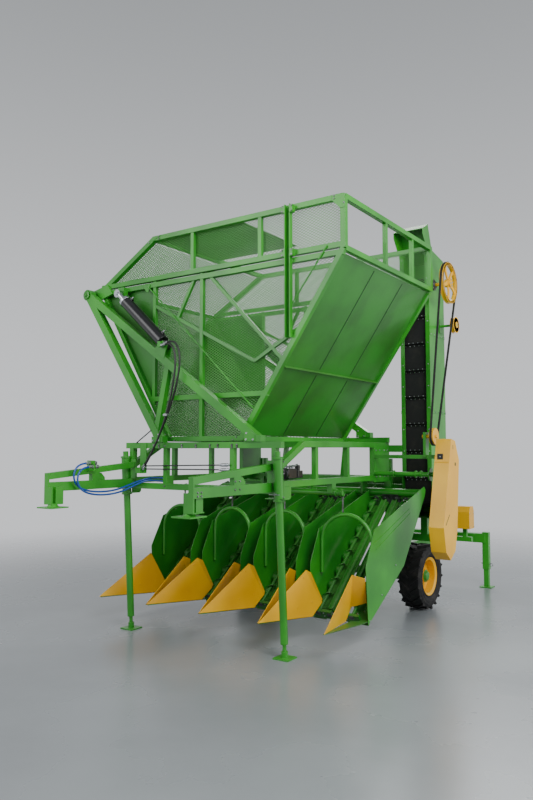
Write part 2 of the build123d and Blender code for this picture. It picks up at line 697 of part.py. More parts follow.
def trough():
    outer = TROUGH_R + SHEET
    arc = Plane.YZ * make_face(
        Polyline((-outer, 0), (-outer, 120), (-TROUGH_R, 120), (-TROUGH_R, 0))
        + ThreePointArc((-TROUGH_R, 0), (0, -TROUGH_R), (TROUGH_R, 0))
        + Polyline((TROUGH_R, 0), (TROUGH_R, 200), (outer, 200), (outer, 0))
        + ThreePointArc((outer, 0), (0, -outer), (-outer, 0))
    )
    length = ELEVATOR_X[0] - TROUGH_LEFT_X
    body = extrude(arc, amount=length)
    body = Pos(TROUGH_LEFT_X, TROUGH_Y, TROUGH_Z) * body
    end = side_plate(
        [
            (TROUGH_Y - outer, TROUGH_Z + 120),
            (TROUGH_Y - outer, TROUGH_Z - 120),
            (TROUGH_Y - 120, TROUGH_Z - outer),
            (TROUGH_Y + 120, TROUGH_Z - outer),
            (TROUGH_Y + outer, TROUGH_Z - 120),
            (TROUGH_Y + outer, TROUGH_Z + 200),
        ],
        TROUGH_LEFT_X - SHEET / 2,
        SHEET,
    )
    return body + end


def arches():
    rows = []
    for i, x in enumerate(ROW_X):
        left = DIVIDER_HALF
        inner_left = (i - ROWS / 2) * ROW_PITCH + left if i > 0 else -OUTER_SHEET_X
        inner_right = (i + 1 - ROWS / 2) * ROW_PITCH - left if i < ROWS - 1 else OUTER_SHEET_X
        middle = (inner_left + inner_right) / 2
        radius = (inner_right - inner_left) / 2 - SHEET / 2 - ARCH_PIPE_R - SEAT_GAP
        path = Polyline((middle - radius, ARCH_Y, ARCH_LOW_Z), (middle - radius, ARCH_Y, ARCH_TOP_Z - radius))
        path += ThreePointArc(
            (middle - radius, ARCH_Y, ARCH_TOP_Z - radius),
            (middle, ARCH_Y, ARCH_TOP_Z),
            (middle + radius, ARCH_Y, ARCH_TOP_Z - radius),
        )
        path += Polyline((middle + radius, ARCH_Y, ARCH_TOP_Z - radius), (middle + radius, ARCH_Y, ARCH_LOW_Z))
        start = Plane(origin=(middle - radius, ARCH_Y, ARCH_LOW_Z), z_dir=(0, 0, 1))
        rows.append(sweep(start * Circle(ARCH_PIPE_R), path=path))
    return rows


ARCH_Y = 1000
ARCH_LOW_Z = 620
ARCH_TOP_Z = 1215
ARCH_PIPE_R = 19
LIFT_Y = ARCH_Y
LIFT_Z = DECK_Z - 480
LIFT_R = 30
LIFT_HALF = 1050


def lift_pipe():
    parts = [pipe((-LIFT_HALF, LIFT_Y, LIFT_Z), (LIFT_HALF, LIFT_Y, LIFT_Z), LIFT_R)]
    top = SIDE_LOW_Z - RAIL / 2
    for x in (-LIFT_HALF + 15, LIFT_HALF - 15, -SIDE_X - 55, SIDE_X + 55):
        parts.append(pipe((x - 5, LIFT_Y, LIFT_Z), (x + 5, LIFT_Y, LIFT_Z), LIFT_R + 12))
    for side in (-1, 1):
        parts.append(post(side * SIDE_X, LIFT_Y, LIFT_Z, top, 60, 80))
    return fuse(parts)


def lift_chains():
    chains = []
    for x in ROW_X:
        chains.append(post(x, LIFT_Y, ARCH_TOP_Z + ARCH_PIPE_R + SEAT_GAP, LIFT_Z - LIFT_R - SEAT_GAP, 12, 12))
    return chains


def skid_top(y):
    # Height of the sloping skid's upper face
    return SKID_TIP_Z + (SKID_Z - SKID_TIP_Z) * (y - SKID_TIP_Y) / (SKID_BEND_Y - SKID_TIP_Y)


def points():
    # Two folded plates in a V on each divider, each closed back to its sheet, on the outer ones only the inner plate
    noses = []
    for x in POINT_X:
        for side in (-1, 1):
            if abs(x) > OUTER_SHEET_X and side * x > 0:
                continue
            half = DIVIDER_HALF if abs(x) < OUTER_SHEET_X else abs(x) - OUTER_SHEET_X
            seat = half + SHEET / 2 + SEAT_GAP + POINT_THICK / 2
            tip = (x + side * 3, POINT_TIP_Y, skid_top(POINT_TIP_Y) + POINT_SEAT)
            knuckle = (x + side * KNUCKLE, 850, 345)
            top = (x + side * (DIVIDER_HALF + 10), POINT_FOLD_Y, 680)
            low = (x + side * SKID_HALF, POINT_FOLD_Y, skid_top(POINT_FOLD_Y) + POINT_SEAT)
            outer = panel([tip, knuckle, top, low], POINT_THICK, order=(0, 3, 1, 2))
            back_top = (x + side * seat, 800, 640)
            back_low = (x + side * seat, 870, 345)
            back = panel([top, knuckle, back_top, back_low], POINT_THICK, order=(0, 1, 3, 2))
            noses.append(outer + back)
    return noses


def skids():
    # The flat shoe under each divider, sloping up to its tip
    profile = [
        (SKID_TIP_Y, SKID_TIP_Z),
        (SKID_BEND_Y, SKID_Z),
        (SKID_BACK_Y, SKID_Z),
        (SKID_BACK_Y, SKID_Z - SKID_THICK),
        (SKID_BEND_Y, SKID_Z - SKID_THICK),
        (SKID_TIP_Y, SKID_TIP_Z - SKID_THICK),
    ]
    shoes = []
    for x in POINT_X:
        half = SKID_HALF
        tail = DIVIDER_HALF + SHEET / 2
        back = SKID_BACK_Y if abs(x) < OUTER_SHEET_X else SKID_OUTER_BACK_Y
        outline = [(x - 20, SKID_TIP_Y), (x + 20, SKID_TIP_Y), (x + half, SKID_BEND_Y), (x + half, SKID_BEND_Y + 30)]
        outline += [(x + tail, SKID_BEND_Y + 40), (x + tail, back), (x - tail, back)]
        outline += [(x - tail, SKID_BEND_Y + 40), (x - half, SKID_BEND_Y + 30), (x - half, SKID_BEND_Y)]
        prism = extrude(make_face(Polyline(*outline, close=True)), amount=600)
        shoe = side_plate(profile, x, 2 * half + 10) & prism
        limit = OUTER_SHEET_X - SHEET / 2
        keep = Box(2 * limit, 4000, 2000)
        shoes.append(shoe & keep)
    return shoes


def pans():
    # Under each side auger: a floor sheet up to the divider, and the bearing block at the front end
    floors = []
    for i, x in enumerate(ROW_X):
        for side in (-1, 1):
            outside = (i == 0 and side < 0) or (i == ROWS - 1 and side > 0)
            wall_x = OUTER_SHEET_X - abs(x) if outside else ROW_PITCH / 2 - DIVIDER_HALF
            edge = wall_x - SHEET / 2 - SEAT_GAP
            inner = ROLL_OFFSET + ROLL_R + 8
            wide = edge - inner
            length = ROLL_LENGTH + 20
            floor = row_plane(x + side * (inner + edge) / 2, length / 2 - 60, -PAN_DROP) * Box(wide, PAN_THICK, length)
            block_in = ROLL_OFFSET - 24
            block_out = ROW_PITCH / 2 - DIVIDER_HALF - SHEET / 2 - SEAT_GAP
            block_x = x + side * (block_in + block_out) / 2
            block = row_plane(block_x, -40, -8) * Box(block_out - block_in, 96, 30)
            shaft = row_plane(x + side * ROLL_OFFSET, -40) * Cylinder(ROW_SHAFT_R + SEAT_GAP, 100)
            auger = row_plane(x + side * AUGER_OFFSET, -40, AUGER_LIFT) * Cylinder(AUGER_CORE_R + SEAT_GAP, 100)
            leg_x = x + side * (inner + block_out) / 2
            leg = row_plane(leg_x, -40, -PAN_DROP / 2 - 10) * Box(block_out - inner, PAN_DROP, 30)
            rear = row_plane(x + side * (inner + edge) / 2, ROLL_LENGTH + 10, -20) * Box(wide, 110, 20)
            floors.append(floor + (block + leg - shaft - auger) + (rear - auger_bore(x, side)))
    return floors


def auger_bore(x, side):
    place = row_plane(x + side * AUGER_OFFSET, ROLL_LENGTH, AUGER_LIFT)
    return place * Cylinder(AUGER_CORE_R + SEAT_GAP, 200)


def poly_bar(a, b, y, size=BASKET_BAR):
    return bar((a[0], y, a[1]), (b[0], y, b[1]), size, size, up=(0, 1, 0))


BASKET_CORNERS = [
    BASKET_LEFT,
    BASKET_LOW_LEFT,
    BASKET_LOW_RIGHT,
    BASKET_RIGHT,
    BASKET_TOP_RIGHT,
    BASKET_TOP_LEFT,
]


BRACE = 32
BRACES = [
    ((GUSSET_X, DECK_Z + 1490), (586, DECK_Z + 805)),
    ((586, DECK_Z + 805), (1080, DECK_Z + 1070)),
    ((-160, DECK_Z + 1730), (-395, DECK_Z + 1325)),
    ((10, DECK_Z + 1730), (915, DECK_Z + 790)),
]


def basket_frame():
    parts = []
    for y in (BASKET_FRONT_Y, BASKET_REAR_Y):
        for i, a in enumerate(BASKET_CORNERS):
            b = BASKET_CORNERS[(i + 1) % len(BASKET_CORNERS)]
            parts.append(poly_bar(a, b, y))
        step = BASKET_BAR + MID_RAIL_GAP
        low = BASKET_LEFT[1] - step / 2
        high = BASKET_LEFT[1] + step / 2
        parts.append(poly_bar((BASKET_LEFT[0], low), (BASKET_RIGHT[0], low), y))
        parts.append(poly_bar((BASKET_LEFT[0], high), (BASKET_RIGHT[0], high), y))
        parts.append(poly_bar((-750, LOW_RAIL_Z), (735, LOW_RAIL_Z), y))
        parts.append(post(GUSSET_X, y, LOW_RAIL_Z - 70, BASKET_LEFT[1], 40, 40))
        for x in CAGE_POSTS_X:
            parts.append(post(x, y, high, BASKET_TOP_LEFT[1], 40, 40))
        for a, b in BRACES:
            parts.append(poly_bar(a, b, y, BRACE))
        parts.append(post(MIDDLE_POST_X, y, BASKET_LOW_LEFT[1], BASKET_LEFT[1], 40, 40))
    for x, z in BASKET_CORNERS:
        parts.append(bar((x, BASKET_FRONT_Y, z), (x, BASKET_REAR_Y, z), BASKET_BAR, BASKET_BAR))
    for y in CAGE_POSTS_Y:
        parts.append(post(BASKET_RIGHT[0], y, BASKET_RIGHT[1], BASKET_TOP_RIGHT[1], 40, 40))
    for y in (BASKET_FRONT_Y, BASKET_REAR_Y):
        inward = 1 if y < 1000 else -1
        face = y - inward * BASKET_BAR / 2
        stand_y = face - inward * 95
        arm = front_plate(
            [
                (TIP_X - 60, TIP_Z + 10),
                (TIP_X - 40, TIP_Z + 60),
                (BASKET_LEFT[0] + 120, BASKET_LEFT[1] + 50),
                (BASKET_LEFT[0] + 200, BASKET_LEFT[1] - 60),
                (TIP_X + 60, TIP_Z - 60),
                (TIP_X - 40, TIP_Z - 55),
            ],
            min(face, face - inward * 27),
            27,
        )
        hole = pipe((TIP_X, y - 300, TIP_Z), (TIP_X, y + 300, TIP_Z), TIP_PIN_R + SEAT_GAP)
        parts.append(arm - hole)
        near = stand_y + inward * (CYL_EYE_HALF + BLOCK_GAP)
        middle = (near + face) / 2
        parts.append(Pos(CYL_EYE[0], middle, CYL_EYE[1] + 20) * Box(90, abs(face - near), 110))
    return fuse(parts)


def wall(a, b, y0, y1, thick=BASKET_SKIN):
    # A flat sheet along Y whose edge in X and Z runs from a to b
    return bar((a[0], (y0 + y1) / 2, a[1]), (b[0], (y0 + y1) / 2, b[1]), y1 - y0, thick, up=(0, 1, 0))


def basket_sheets():
    half = BASKET_BAR / 2
    y0 = BASKET_FRONT_Y + half
    y1 = BASKET_REAR_Y - half

    def inset(a, b):
        run = Vector(b[0] - a[0], 0, b[1] - a[1]).normalized() * 40
        return (a[0] + run.X, a[1] + run.Z), (b[0] - run.X, b[1] - run.Z)

    sides = [
        inset(BASKET_LEFT, BASKET_LOW_LEFT),
        inset(BASKET_LOW_LEFT, BASKET_LOW_RIGHT),
        inset(BASKET_LOW_RIGHT, BASKET_RIGHT),
    ]
    plates = []
    for a, b in sides:
        run, middle = between((a[0], (y0 + y1) / 2, a[1]), (b[0], (y0 + y1) / 2, b[1]))
        plane = Plane(origin=middle, x_dir=(0, 1, 0), z_dir=run)
        plates.append(plane * Box(y1 - y0, BASKET_SKIN, run.length))
    roof_x0 = BASKET_TOP_LEFT[0] + half
    roof = Pos((roof_x0 + ROOF_TO_X) / 2, (y0 + ROOF_TO_Y) / 2, BASKET_TOP_LEFT[1]) * Box(
        ROOF_TO_X - roof_x0, ROOF_TO_Y - y0, BASKET_SKIN
    )
    plates.append(roof)
    return plates


def barrel(y):
    run = Vector(CYL_EYE[0] - CYL_BASE[0], 0, CYL_EYE[1] - CYL_BASE[1])
    unit = run.normalized()
    base = Vector(CYL_BASE[0], y, CYL_BASE[1])

    def at(distance):
        return tuple(base + unit * distance)

    tube = pipe(at(70), at(800), BARREL_R)
    eye = pipe(
        (CYL_BASE[0], y - CYL_EYE_HALF, CYL_BASE[1]),
        (CYL_BASE[0], y + CYL_EYE_HALF, CYL_BASE[1]),
        BARREL_EYE_R,
    )
    neck = pipe(at(0), at(80), CYL_EYE_HALF - 2)
    pin = pipe((CYL_BASE[0], y - 100, CYL_BASE[1]), (CYL_BASE[0], y + 100, CYL_BASE[1]), 20 + SEAT_GAP)
    bore = pipe(at(110), at(801), ROD_R + SEAT_GAP)
    return tube + eye + neck - pin - bore


def rod(y):
    run = Vector(CYL_EYE[0] - CYL_BASE[0], 0, CYL_EYE[1] - CYL_BASE[1])
    unit = run.normalized()
    base = Vector(CYL_BASE[0], y, CYL_BASE[1])
    tip = Vector(CYL_EYE[0], y, CYL_EYE[1])
    inward = 1 if y < BASKET_FRONT_Y else -1
    reach = CYL_EYE_HALF + BLOCK_GAP - SEAT_GAP
    shaft = pipe(tuple(base + unit * 112), tuple(tip - unit * 20), ROD_R)
    eye = pipe((tip.X, y - CYL_EYE_HALF + 2, tip.Z), (tip.X, y + CYL_EYE_HALF - 2, tip.Z), 44)
    pin = pipe((tip.X, y - inward * (CYL_EYE_HALF + 12), tip.Z), (tip.X, y + inward * reach, tip.Z), 20)
    return shaft + eye + pin


def elevator_housing():
    x0, x1 = ELEVATOR_X
    y0, y1 = ELEVATOR_Y
    outer = Pos((x0 + x1) / 2, (y0 + y1) / 2, (ELEVATOR_LOW_Z + ELEVATOR_TOP_Z) / 2) * Box(
        x1 - x0, y1 - y0, ELEVATOR_TOP_Z - ELEVATOR_LOW_Z
    )
    boot = Pos((x0 + x1) / 2, (y0 + ELEVATOR_BOOT_Y) / 2, (ELEVATOR_LOW_Z + ELEVATOR_BOOT_TOP) / 2) * Box(
        x1 - x0, ELEVATOR_BOOT_Y - y0, ELEVATOR_BOOT_TOP - ELEVATOR_LOW_Z
    )
    inner = Pos((x0 + x1) / 2, (y0 + y1) / 2 - SHEET, (ELEVATOR_LOW_Z + ELEVATOR_TOP_Z) / 2 + SHEET) * Box(
        x1 - x0 - 2 * SHEET, y1 - y0, ELEVATOR_TOP_Z - ELEVATOR_LOW_Z
    )
    inner_boot = Pos((x0 + x1) / 2, (y0 + ELEVATOR_BOOT_Y) / 2, (ELEVATOR_LOW_Z + ELEVATOR_BOOT_TOP) / 2) * Box(
        x1 - x0 - 2 * SHEET, ELEVATOR_BOOT_Y - y0 - 2 * SHEET, ELEVATOR_BOOT_TOP - ELEVATOR_LOW_Z - 2 * SHEET
    )
    mouth = pipe((x0 - 10, TROUGH_Y, TROUGH_Z), (x0 + 10, TROUGH_Y, TROUGH_Z), TROUGH_R - 2)
    top_shaft = pipe((x0 - 50, DRUM_Y, DRUM_TOP_Z), (x1 + 50, DRUM_Y, DRUM_TOP_Z), SHAFT_R + SEAT_GAP)
    low_shaft = pipe((x0 - 50, DRUM_Y, DRUM_LOW_Z), (x1 + 50, DRUM_Y, DRUM_LOW_Z), SHAFT_R + SEAT_GAP)
    body = outer + boot - inner - inner_boot - mouth
    for x in (x0 + FLANGE / 2, x1 - FLANGE / 2):
        body += post(x, y0 + SHEET / 2, ELEVATOR_BOOT_TOP, ELEVATOR_TOP_Z, FLANGE, SHEET)
    return body - top_shaft - low_shaft


HOOD_LIP_Y = BACK_Y + 7
HOOD_OUTLINE = [
    (ELEVATOR_Y[0], ELEVATOR_TOP_Z),
    (HOOD_LIP_Y, ELEVATOR_TOP_Z + 210),
    (HOOD_LIP_Y, ELEVATOR_TOP_Z + 275),
    (HOOD_LIP_Y + 160, ELEVATOR_TOP_Z + 360),
    (HOOD_LIP_Y + 270, ELEVATOR_TOP_Z + 80),
    (ELEVATOR_Y[1], ELEVATOR_TOP_Z + 20),
    (ELEVATOR_Y[1], ELEVATOR_TOP_Z),
]


def elevator_hood():
    # Two side plates under a folded roof, open at the front and below
    x0, x1 = ELEVATOR_X
    middle = (x0 + x1) / 2
    outer = side_plate(HOOD_OUTLINE, middle, x1 - x0)
    inside = [(y, z - 2 * SHEET) for y, z in HOOD_OUTLINE[3:5]]
    inner = [
        (ELEVATOR_Y[0] - 200, ELEVATOR_TOP_Z - 20),
        (HOOD_LIP_Y - 20, ELEVATOR_TOP_Z + 255),
        *inside,
        (ELEVATOR_Y[1] - SHEET, ELEVATOR_TOP_Z + 20 - SHEET),
        (ELEVATOR_Y[1] - SHEET, ELEVATOR_TOP_Z - 20),
    ]
    return outer - side_plate(inner, middle, x1 - x0 - 2 * SHEET)


def elevator_conveyor():
    x0, x1 = ELEVATOR_X
    wide = x1 - x0 - 2 * SHEET - 20
    rise = DRUM_TOP_Z - DRUM_LOW_Z
    middle = (DRUM_TOP_Z + DRUM_LOW_Z) / 2
    loop = Pos((x0 + x1) / 2, DRUM_Y, middle) * Rot(0, 0, 90) * Rot(90, 0, 0) * extrude(
        SlotCenterToCenter(rise, 2 * (DRUM_R + BELT), rotation=90) - SlotCenterToCenter(rise, 2 * DRUM_R, rotation=90),
        amount=wide / 2,
        both=True,
    )
    parts = [loop]
    count = int((rise - SLAT_FROM) / SLAT_PITCH) + 1
    for i in range(count):
        z = DRUM_TOP_Z - SLAT_FROM - i * SLAT_PITCH
        for side in (-1, 1):
            y = DRUM_Y + side * (DRUM_R + BELT + SLAT_HIGH / 2)
            parts.append(Pos((x0 + x1) / 2, y, z) * Box(wide, SLAT_HIGH, SLAT_THICK))
    return fuse(parts)


def top_drum():
    x0, x1 = ELEVATOR_X
    shaft = pipe((x0 - 40, DRUM_Y, DRUM_TOP_Z), (PULLEY_X + 40, DRUM_Y, DRUM_TOP_Z), SHAFT_R)
    drum = pipe((x0 + 14, DRUM_Y, DRUM_TOP_Z), (x1 - 14, DRUM_Y, DRUM_TOP_Z), DRUM_R - SEAT_GAP)
    ring = pipe((PULLEY_X - PULLEY_WIDE / 2, DRUM_Y, DRUM_TOP_Z), (PULLEY_X + PULLEY_WIDE / 2, DRUM_Y, DRUM_TOP_Z), PULLEY_R)
    cut = pipe((PULLEY_X - 100, DRUM_Y, DRUM_TOP_Z), (PULLEY_X + 100, DRUM_Y, DRUM_TOP_Z), PULLEY_R - 28)
    wheel = ring - cut
    hub = pipe((PULLEY_X - 35, DRUM_Y, DRUM_TOP_Z), (PULLEY_X + 35, DRUM_Y, DRUM_TOP_Z), 48)
    wheel += hub
    bend = PULLEY_R - 55
    middle = (PULLEY_R - 20) / 2
    arc = Pos(middle, -bend) * (Circle(bend + SPOKE / 2) - Circle(bend - SPOKE / 2))
    arc = arc & (Pos(middle, 0) * Rectangle(PULLEY_R - 20, PULLEY_R))
    spoke = extrude(arc, amount=8, both=True)
    for i in range(5):
        wheel += Pos(PULLEY_X, DRUM_Y, DRUM_TOP_Z) * Rot(72 * i, 0, 0) * Rot(0, 90, 0) * spoke
    return shaft, drum, wheel


def low_drum():
    x0, x1 = ELEVATOR_X
    shaft = pipe((x0 - 30, DRUM_Y, DRUM_LOW_Z), (x1 + 30, DRUM_Y, DRUM_LOW_Z), SHAFT_R)
    drum = pipe((x0 + 14, DRUM_Y, DRUM_LOW_Z), (x1 - 14, DRUM_Y, DRUM_LOW_Z), DRUM_R - SEAT_GAP)
    return shaft + drum


GUARD_OUTLINE = [
    (BACK_Y - 373, DECK_Z + 70),
    (BACK_Y - 258, DECK_Z + 50),
    (BACK_Y - 147, DECK_Z - 153),
    (BACK_Y - 233, DECK_Z - 880),
    (BACK_Y - 303, DECK_Z - 1090),
    (BACK_Y - 443, DECK_Z - 1170),
    (BACK_Y - 563, DECK_Z - 1080),
    (BACK_Y - 623, DECK_Z - 830),
    (BACK_Y - 518, DECK_Z - 453),
]


def drive_guard():
    # A deep cover, open towards the machine
    x0, x1 = GUARD_X
    shell = side_plate(GUARD_OUTLINE, (x0 + x1) / 2, x1 - x0)
    face = Plane.YZ * offset(make_face(Polyline(*GUARD_OUTLINE, close=True)), amount=-GUARD_WALL)
    inner = Pos(x0 - 1, 0, 0) * extrude(face, amount=x1 - x0 - GUARD_WALL + 1)
    return shell - inner


def guard_carrier():
    # The cross bar and the lower shaft housing that carry the cover and the lower pulley
    left = SIDE_X + REAR_PLATE_THICK / 2
    right = GUARD_X[1] - GUARD_WALL
    high = bar((left, LOW_PULLEY_Y, CARRIER_Z), (right, LOW_PULLEY_Y, CARRIER_Z), 40, 40)
    low = pipe((left, LOW_PULLEY_Y, CARRIER_LOW_Z), (right, LOW_PULLEY_Y, CARRIER_LOW_Z), 25)
    flange = pipe((1600, LOW_PULLEY_Y, CARRIER_LOW_Z), (1616, LOW_PULLEY_Y, CARRIER_LOW_Z), 70)
    bracket = post(BEARING_X, LOW_PULLEY_Y, CARRIER_Z, LOW_PULLEY_Z + 45, 30, 90)
    bore = pipe((BEARING_X - 50, LOW_PULLEY_Y, LOW_PULLEY_Z), (BEARING_X + 50, LOW_PULLEY_Y, LOW_PULLEY_Z), SHAFT_R + SEAT_GAP)
    return fuse([high, low + flange, bracket]) - bore


def low_pulley():
    x = PULLEY_X
    wheel = pipe((x - PULLEY_WIDE / 2, LOW_PULLEY_Y, LOW_PULLEY_Z), (x + PULLEY_WIDE / 2, LOW_PULLEY_Y, LOW_PULLEY_Z), LOW_PULLEY_R)
    shaft = pipe((BEARING_X - 40, LOW_PULLEY_Y, LOW_PULLEY_Z), (x + PULLEY_WIDE / 2 + 15, LOW_PULLEY_Y, LOW_PULLEY_Z), SHAFT_R)
    return wheel + shaft


def belt_normal(side):
    # The unit normal, in Y and Z, of the belt's straight run behind (1) or in front of (-1) the pulleys
    rise = Vector(DRUM_Y - LOW_PULLEY_Y, DRUM_TOP_Z - LOW_PULLEY_Z, 0)
    lean = math.asin((PULLEY_R - LOW_PULLEY_R) / rise.length)
    angle = math.atan2(rise.Y, rise.X) - side * (math.pi / 2 + lean)
    return Vector(math.cos(angle), math.sin(angle), 0)


def belt_face(grow):
    big = Vector(DRUM_Y, DRUM_TOP_Z, 0)
    small = Vector(LOW_PULLEY_Y, LOW_PULLEY_Z, 0)
    along = (big - small).normalized()
    back = belt_normal(1)
    front = belt_normal(-1)
    r_big = PULLEY_R + grow
    r_small = LOW_PULLEY_R + grow
    edges = [
        ThreePointArc(big + front * r_big, big + along * r_big, big + back * r_big),
        Line(big + back * r_big, small + back * r_small),
        ThreePointArc(small + back * r_small, small - along * r_small, small + front * r_small),
        Line(small + front * r_small, big + front * r_big),
    ]
    return make_face(edges)


def drive_belt():
    outline = belt_face(SEAT_GAP + BELT_THICK) - belt_face(SEAT_GAP)
    return Pos(PULLEY_X - BELT_WIDE / 2, 0, 0) * extrude(Plane.YZ * outline, amount=BELT_WIDE)


def idler_place():
    # The idler rests on the rear run of the belt
    normal = belt_normal(1)
    start = Vector(DRUM_Y, DRUM_TOP_Z, 0) + normal * PULLEY_R
    end = Vector(LOW_PULLEY_Y, LOW_PULLEY_Z, 0) + normal * LOW_PULLEY_R
    spot = start + (end - start) * IDLER_SHARE + normal * (2 * SEAT_GAP + BELT_THICK + IDLER_R)
    return spot.X, spot.Y


def idler():
    y, z = idler_place()
    x = PULLEY_X
    return pipe((x - PULLEY_WIDE / 2, y, z), (x + PULLEY_WIDE / 2, y, z), IDLER_R) - pipe(
        (x - 60, y, z), (x + 60, y, z), IDLER_PIN_R + SEAT_GAP
    )


def idler_arm():
    y, z = idler_place()
    pin = pipe((ELEVATOR_X[1], y, z), (PULLEY_X + PULLEY_WIDE / 2 + 8, y, z), IDLER_PIN_R)
    plate = Pos(ELEVATOR_X[1] + 5, y + 20, z) * Box(10, 90, 160)
    return pin + plate


def rear_guard():
    x0, x1 = REAR_GUARD_X
    outline = [
        (REAR_GUARD_Y - 95, REAR_GUARD_Z),
        (REAR_GUARD_Y - 95, REAR_GUARD_Z + 220),
        (REAR_GUARD_Y - 60, REAR_GUARD_Z + 290),
        (REAR_GUARD_Y + 60, REAR_GUARD_Z + 290),
        (REAR_GUARD_Y + 95, REAR_GUARD_Z + 220),
        (REAR_GUARD_Y + 95, REAR_GUARD_Z),
    ]
    shell = side_plate(outline, (x0 + x1) / 2, x1 - x0)
    face = Plane.YZ * offset(make_face(Polyline(*outline, close=True)), amount=-GUARD_WALL)
    return shell - Pos(x0 - 1, 0, 0) * extrude(face, amount=x1 - x0 - GUARD_WALL + 1)


MESH = 3


def basket_mesh():
    # Expanded metal on the inner faces of the bars; its openings are too fine to cut here
    low_z = BASKET_LEFT[1] - (BASKET_BAR + MID_RAIL_GAP) / 2
    high_z = low_z + BASKET_BAR + MID_RAIL_GAP
    lower = [(GUSSET_X, low_z), (GUSSET_X, LOW_RAIL_Z - 65), BASKET_LOW_LEFT, BASKET_LOW_RIGHT, (BASKET_RIGHT[0] - 24, low_z)]
    upper = [(BASKET_LEFT[0] + 60, high_z), BASKET_TOP_LEFT, BASKET_TOP_RIGHT, (BASKET_RIGHT[0], high_z)]
    rails = [bar((x, 0, z), (x, 3000, z), BASKET_BAR + 0.6, BASKET_BAR + 0.6) for x, z in BASKET_CORNERS]
    half = BASKET_BAR / 2
    plates = []
    for y in (BASKET_FRONT_Y + half, BASKET_REAR_Y - half - MESH):
        for outline in (lower, upper):
            face = offset(make_face(Polyline(*outline, close=True)), amount=-15, kind=Kind.INTERSECTION)
            plate = Pos(0, y + MESH, 0) * extrude(Plane.XZ * face, amount=MESH)
            for rail in rails:
                plate = plate - rail
            plates.append(plate)
    y0 = BASKET_FRONT_Y + half
    y1 = BASKET_REAR_Y - half
    a, b = BASKET_LEFT, BASKET_TOP_LEFT
    run = Vector(b[0] - a[0], 0, b[1] - a[1])
    middle = Vector((a[0] + b[0]) / 2, (y0 + y1) / 2, (a[1] + b[1]) / 2)
    plane = Plane(origin=middle, x_dir=(0, 1, 0), z_dir=run)
    plates.append(plane * Box(y1 - y0, MESH, run.length - 110))
    return plates


def gussets():
    # The solid sheets at the left end of the front and rear walls
    low_z = BASKET_LEFT[1] - (BASKET_BAR + MID_RAIL_GAP) / 2
    outline = [(BASKET_LEFT[0] + 30, low_z - 10), (GUSSET_X - 1, low_z - 10), (GUSSET_X - 1, LOW_RAIL_Z - 30)]
    half = BASKET_BAR / 2
    return [front_plate(outline, y, MESH) for y in (BASKET_FRONT_Y + half, BASKET_REAR_Y - half - MESH)]


def guide_post():
    y = BASKET_FRONT_Y - BASKET_BAR / 2 - 25
    low, high = GUIDE_Z
    body = post(GUIDE_X, y, low, high, 60, 50) - post(GUIDE_X, y - 5, low - 10, high + 10, 48, 50)
    for z in (high - 45, BASKET_LEFT[1] + 30):
        body += Pos(GUIDE_X, y, z) * Box(120, 50, 70) - Pos(GUIDE_X, y - 5, z) * Box(48, 50, 80)
    return body


BLACK_D = 20
BLUE_D = 18
# The hoses' routes, each from the port it leaves to the port it enters
BLACK_HOSES = [
    [
        (-412, -62, CYL_BASE[1] + 12),
        (-335, -64, CYL_BASE[1] + 30),
        (-262, -70, CYL_BASE[1] + 7),
        (-212, -78, CYL_BASE[1] - 58),
        (-188, -86, CYL_BASE[1] - 148),
        (-188, -92, CYL_BASE[1] - 258),
        (-208, -98, CYL_BASE[1] - 378),
        (-243, -102, CYL_BASE[1] - 508),
        (-292, -104, CYL_BASE[1] - 638),
        (-352, -104, CYL_BASE[1] - 768),
        (-424, -102, CYL_BASE[1] - 898),
        (-502, -97, CYL_BASE[1] - 1028),
        (-582, -88, CYL_BASE[1] - 1132),
        (-650, -74, CYL_BASE[1] - 1203),
        (-692, -62, CYL_BASE[1] - 1241),
    ],
    [
        (-412, -92, CYL_BASE[1] - 8),
        (-345, -94, CYL_BASE[1] + 4),
        (-282, -100, CYL_BASE[1] - 23),
        (-240, -108, CYL_BASE[1] - 84),
        (-220, -116, CYL_BASE[1] - 172),
        (-220, -122, CYL_BASE[1] - 284),
        (-236, -128, CYL_BASE[1] - 406),
        (-262, -132, CYL_BASE[1] - 534),
        (-298, -134, CYL_BASE[1] - 662),
        (-346, -134, CYL_BASE[1] - 790),
        (-406, -132, CYL_BASE[1] - 916),
        (-476, -126, CYL_BASE[1] - 1034),
        (-550, -116, CYL_BASE[1] - 1136),
        (-618, -102, CYL_BASE[1] - 1212),
        (-664, -90, CYL_BASE[1] - 1256),
    ],
]
BLUE_HOSES = [
    [
        (-800, -702, DECK_Z - 173),
        (-800, -772, DECK_Z - 174),
        (-800, -850, DECK_Z - 208),
        (-800, -884, DECK_Z - 288),
        (-799, -856, DECK_Z - 370),
        (-797, -776, DECK_Z - 422),
        (-793, -640, DECK_Z - 450),
        (-788, -470, DECK_Z - 456),
        (-782, -300, DECK_Z - 436),
        (-768, -140, DECK_Z - 388),
        (-733, 0, DECK_Z - 347),
        (-645, 50, DECK_Z - 331),
        (-545, 57, DECK_Z - 333),
        (-456, 57, DECK_Z - 333),
    ],
    [
        (-770, -690, DECK_Z - 207),
        (-770, -757, DECK_Z - 209),
        (-770, -832, DECK_Z - 242),
        (-770, -864, DECK_Z - 320),
        (-769, -838, DECK_Z - 400),
        (-767, -762, DECK_Z - 452),
        (-763, -630, DECK_Z - 480),
        (-758, -466, DECK_Z - 484),
        (-752, -300, DECK_Z - 462),
        (-738, -146, DECK_Z - 408),
        (-700, -12, DECK_Z - 356),
        (-618, 44, DECK_Z - 364),
        (-535, 57, DECK_Z - 367),
        (-456, 57, DECK_Z - 367),
    ],
]
PORT_R = 14
PORT_LONG = 45


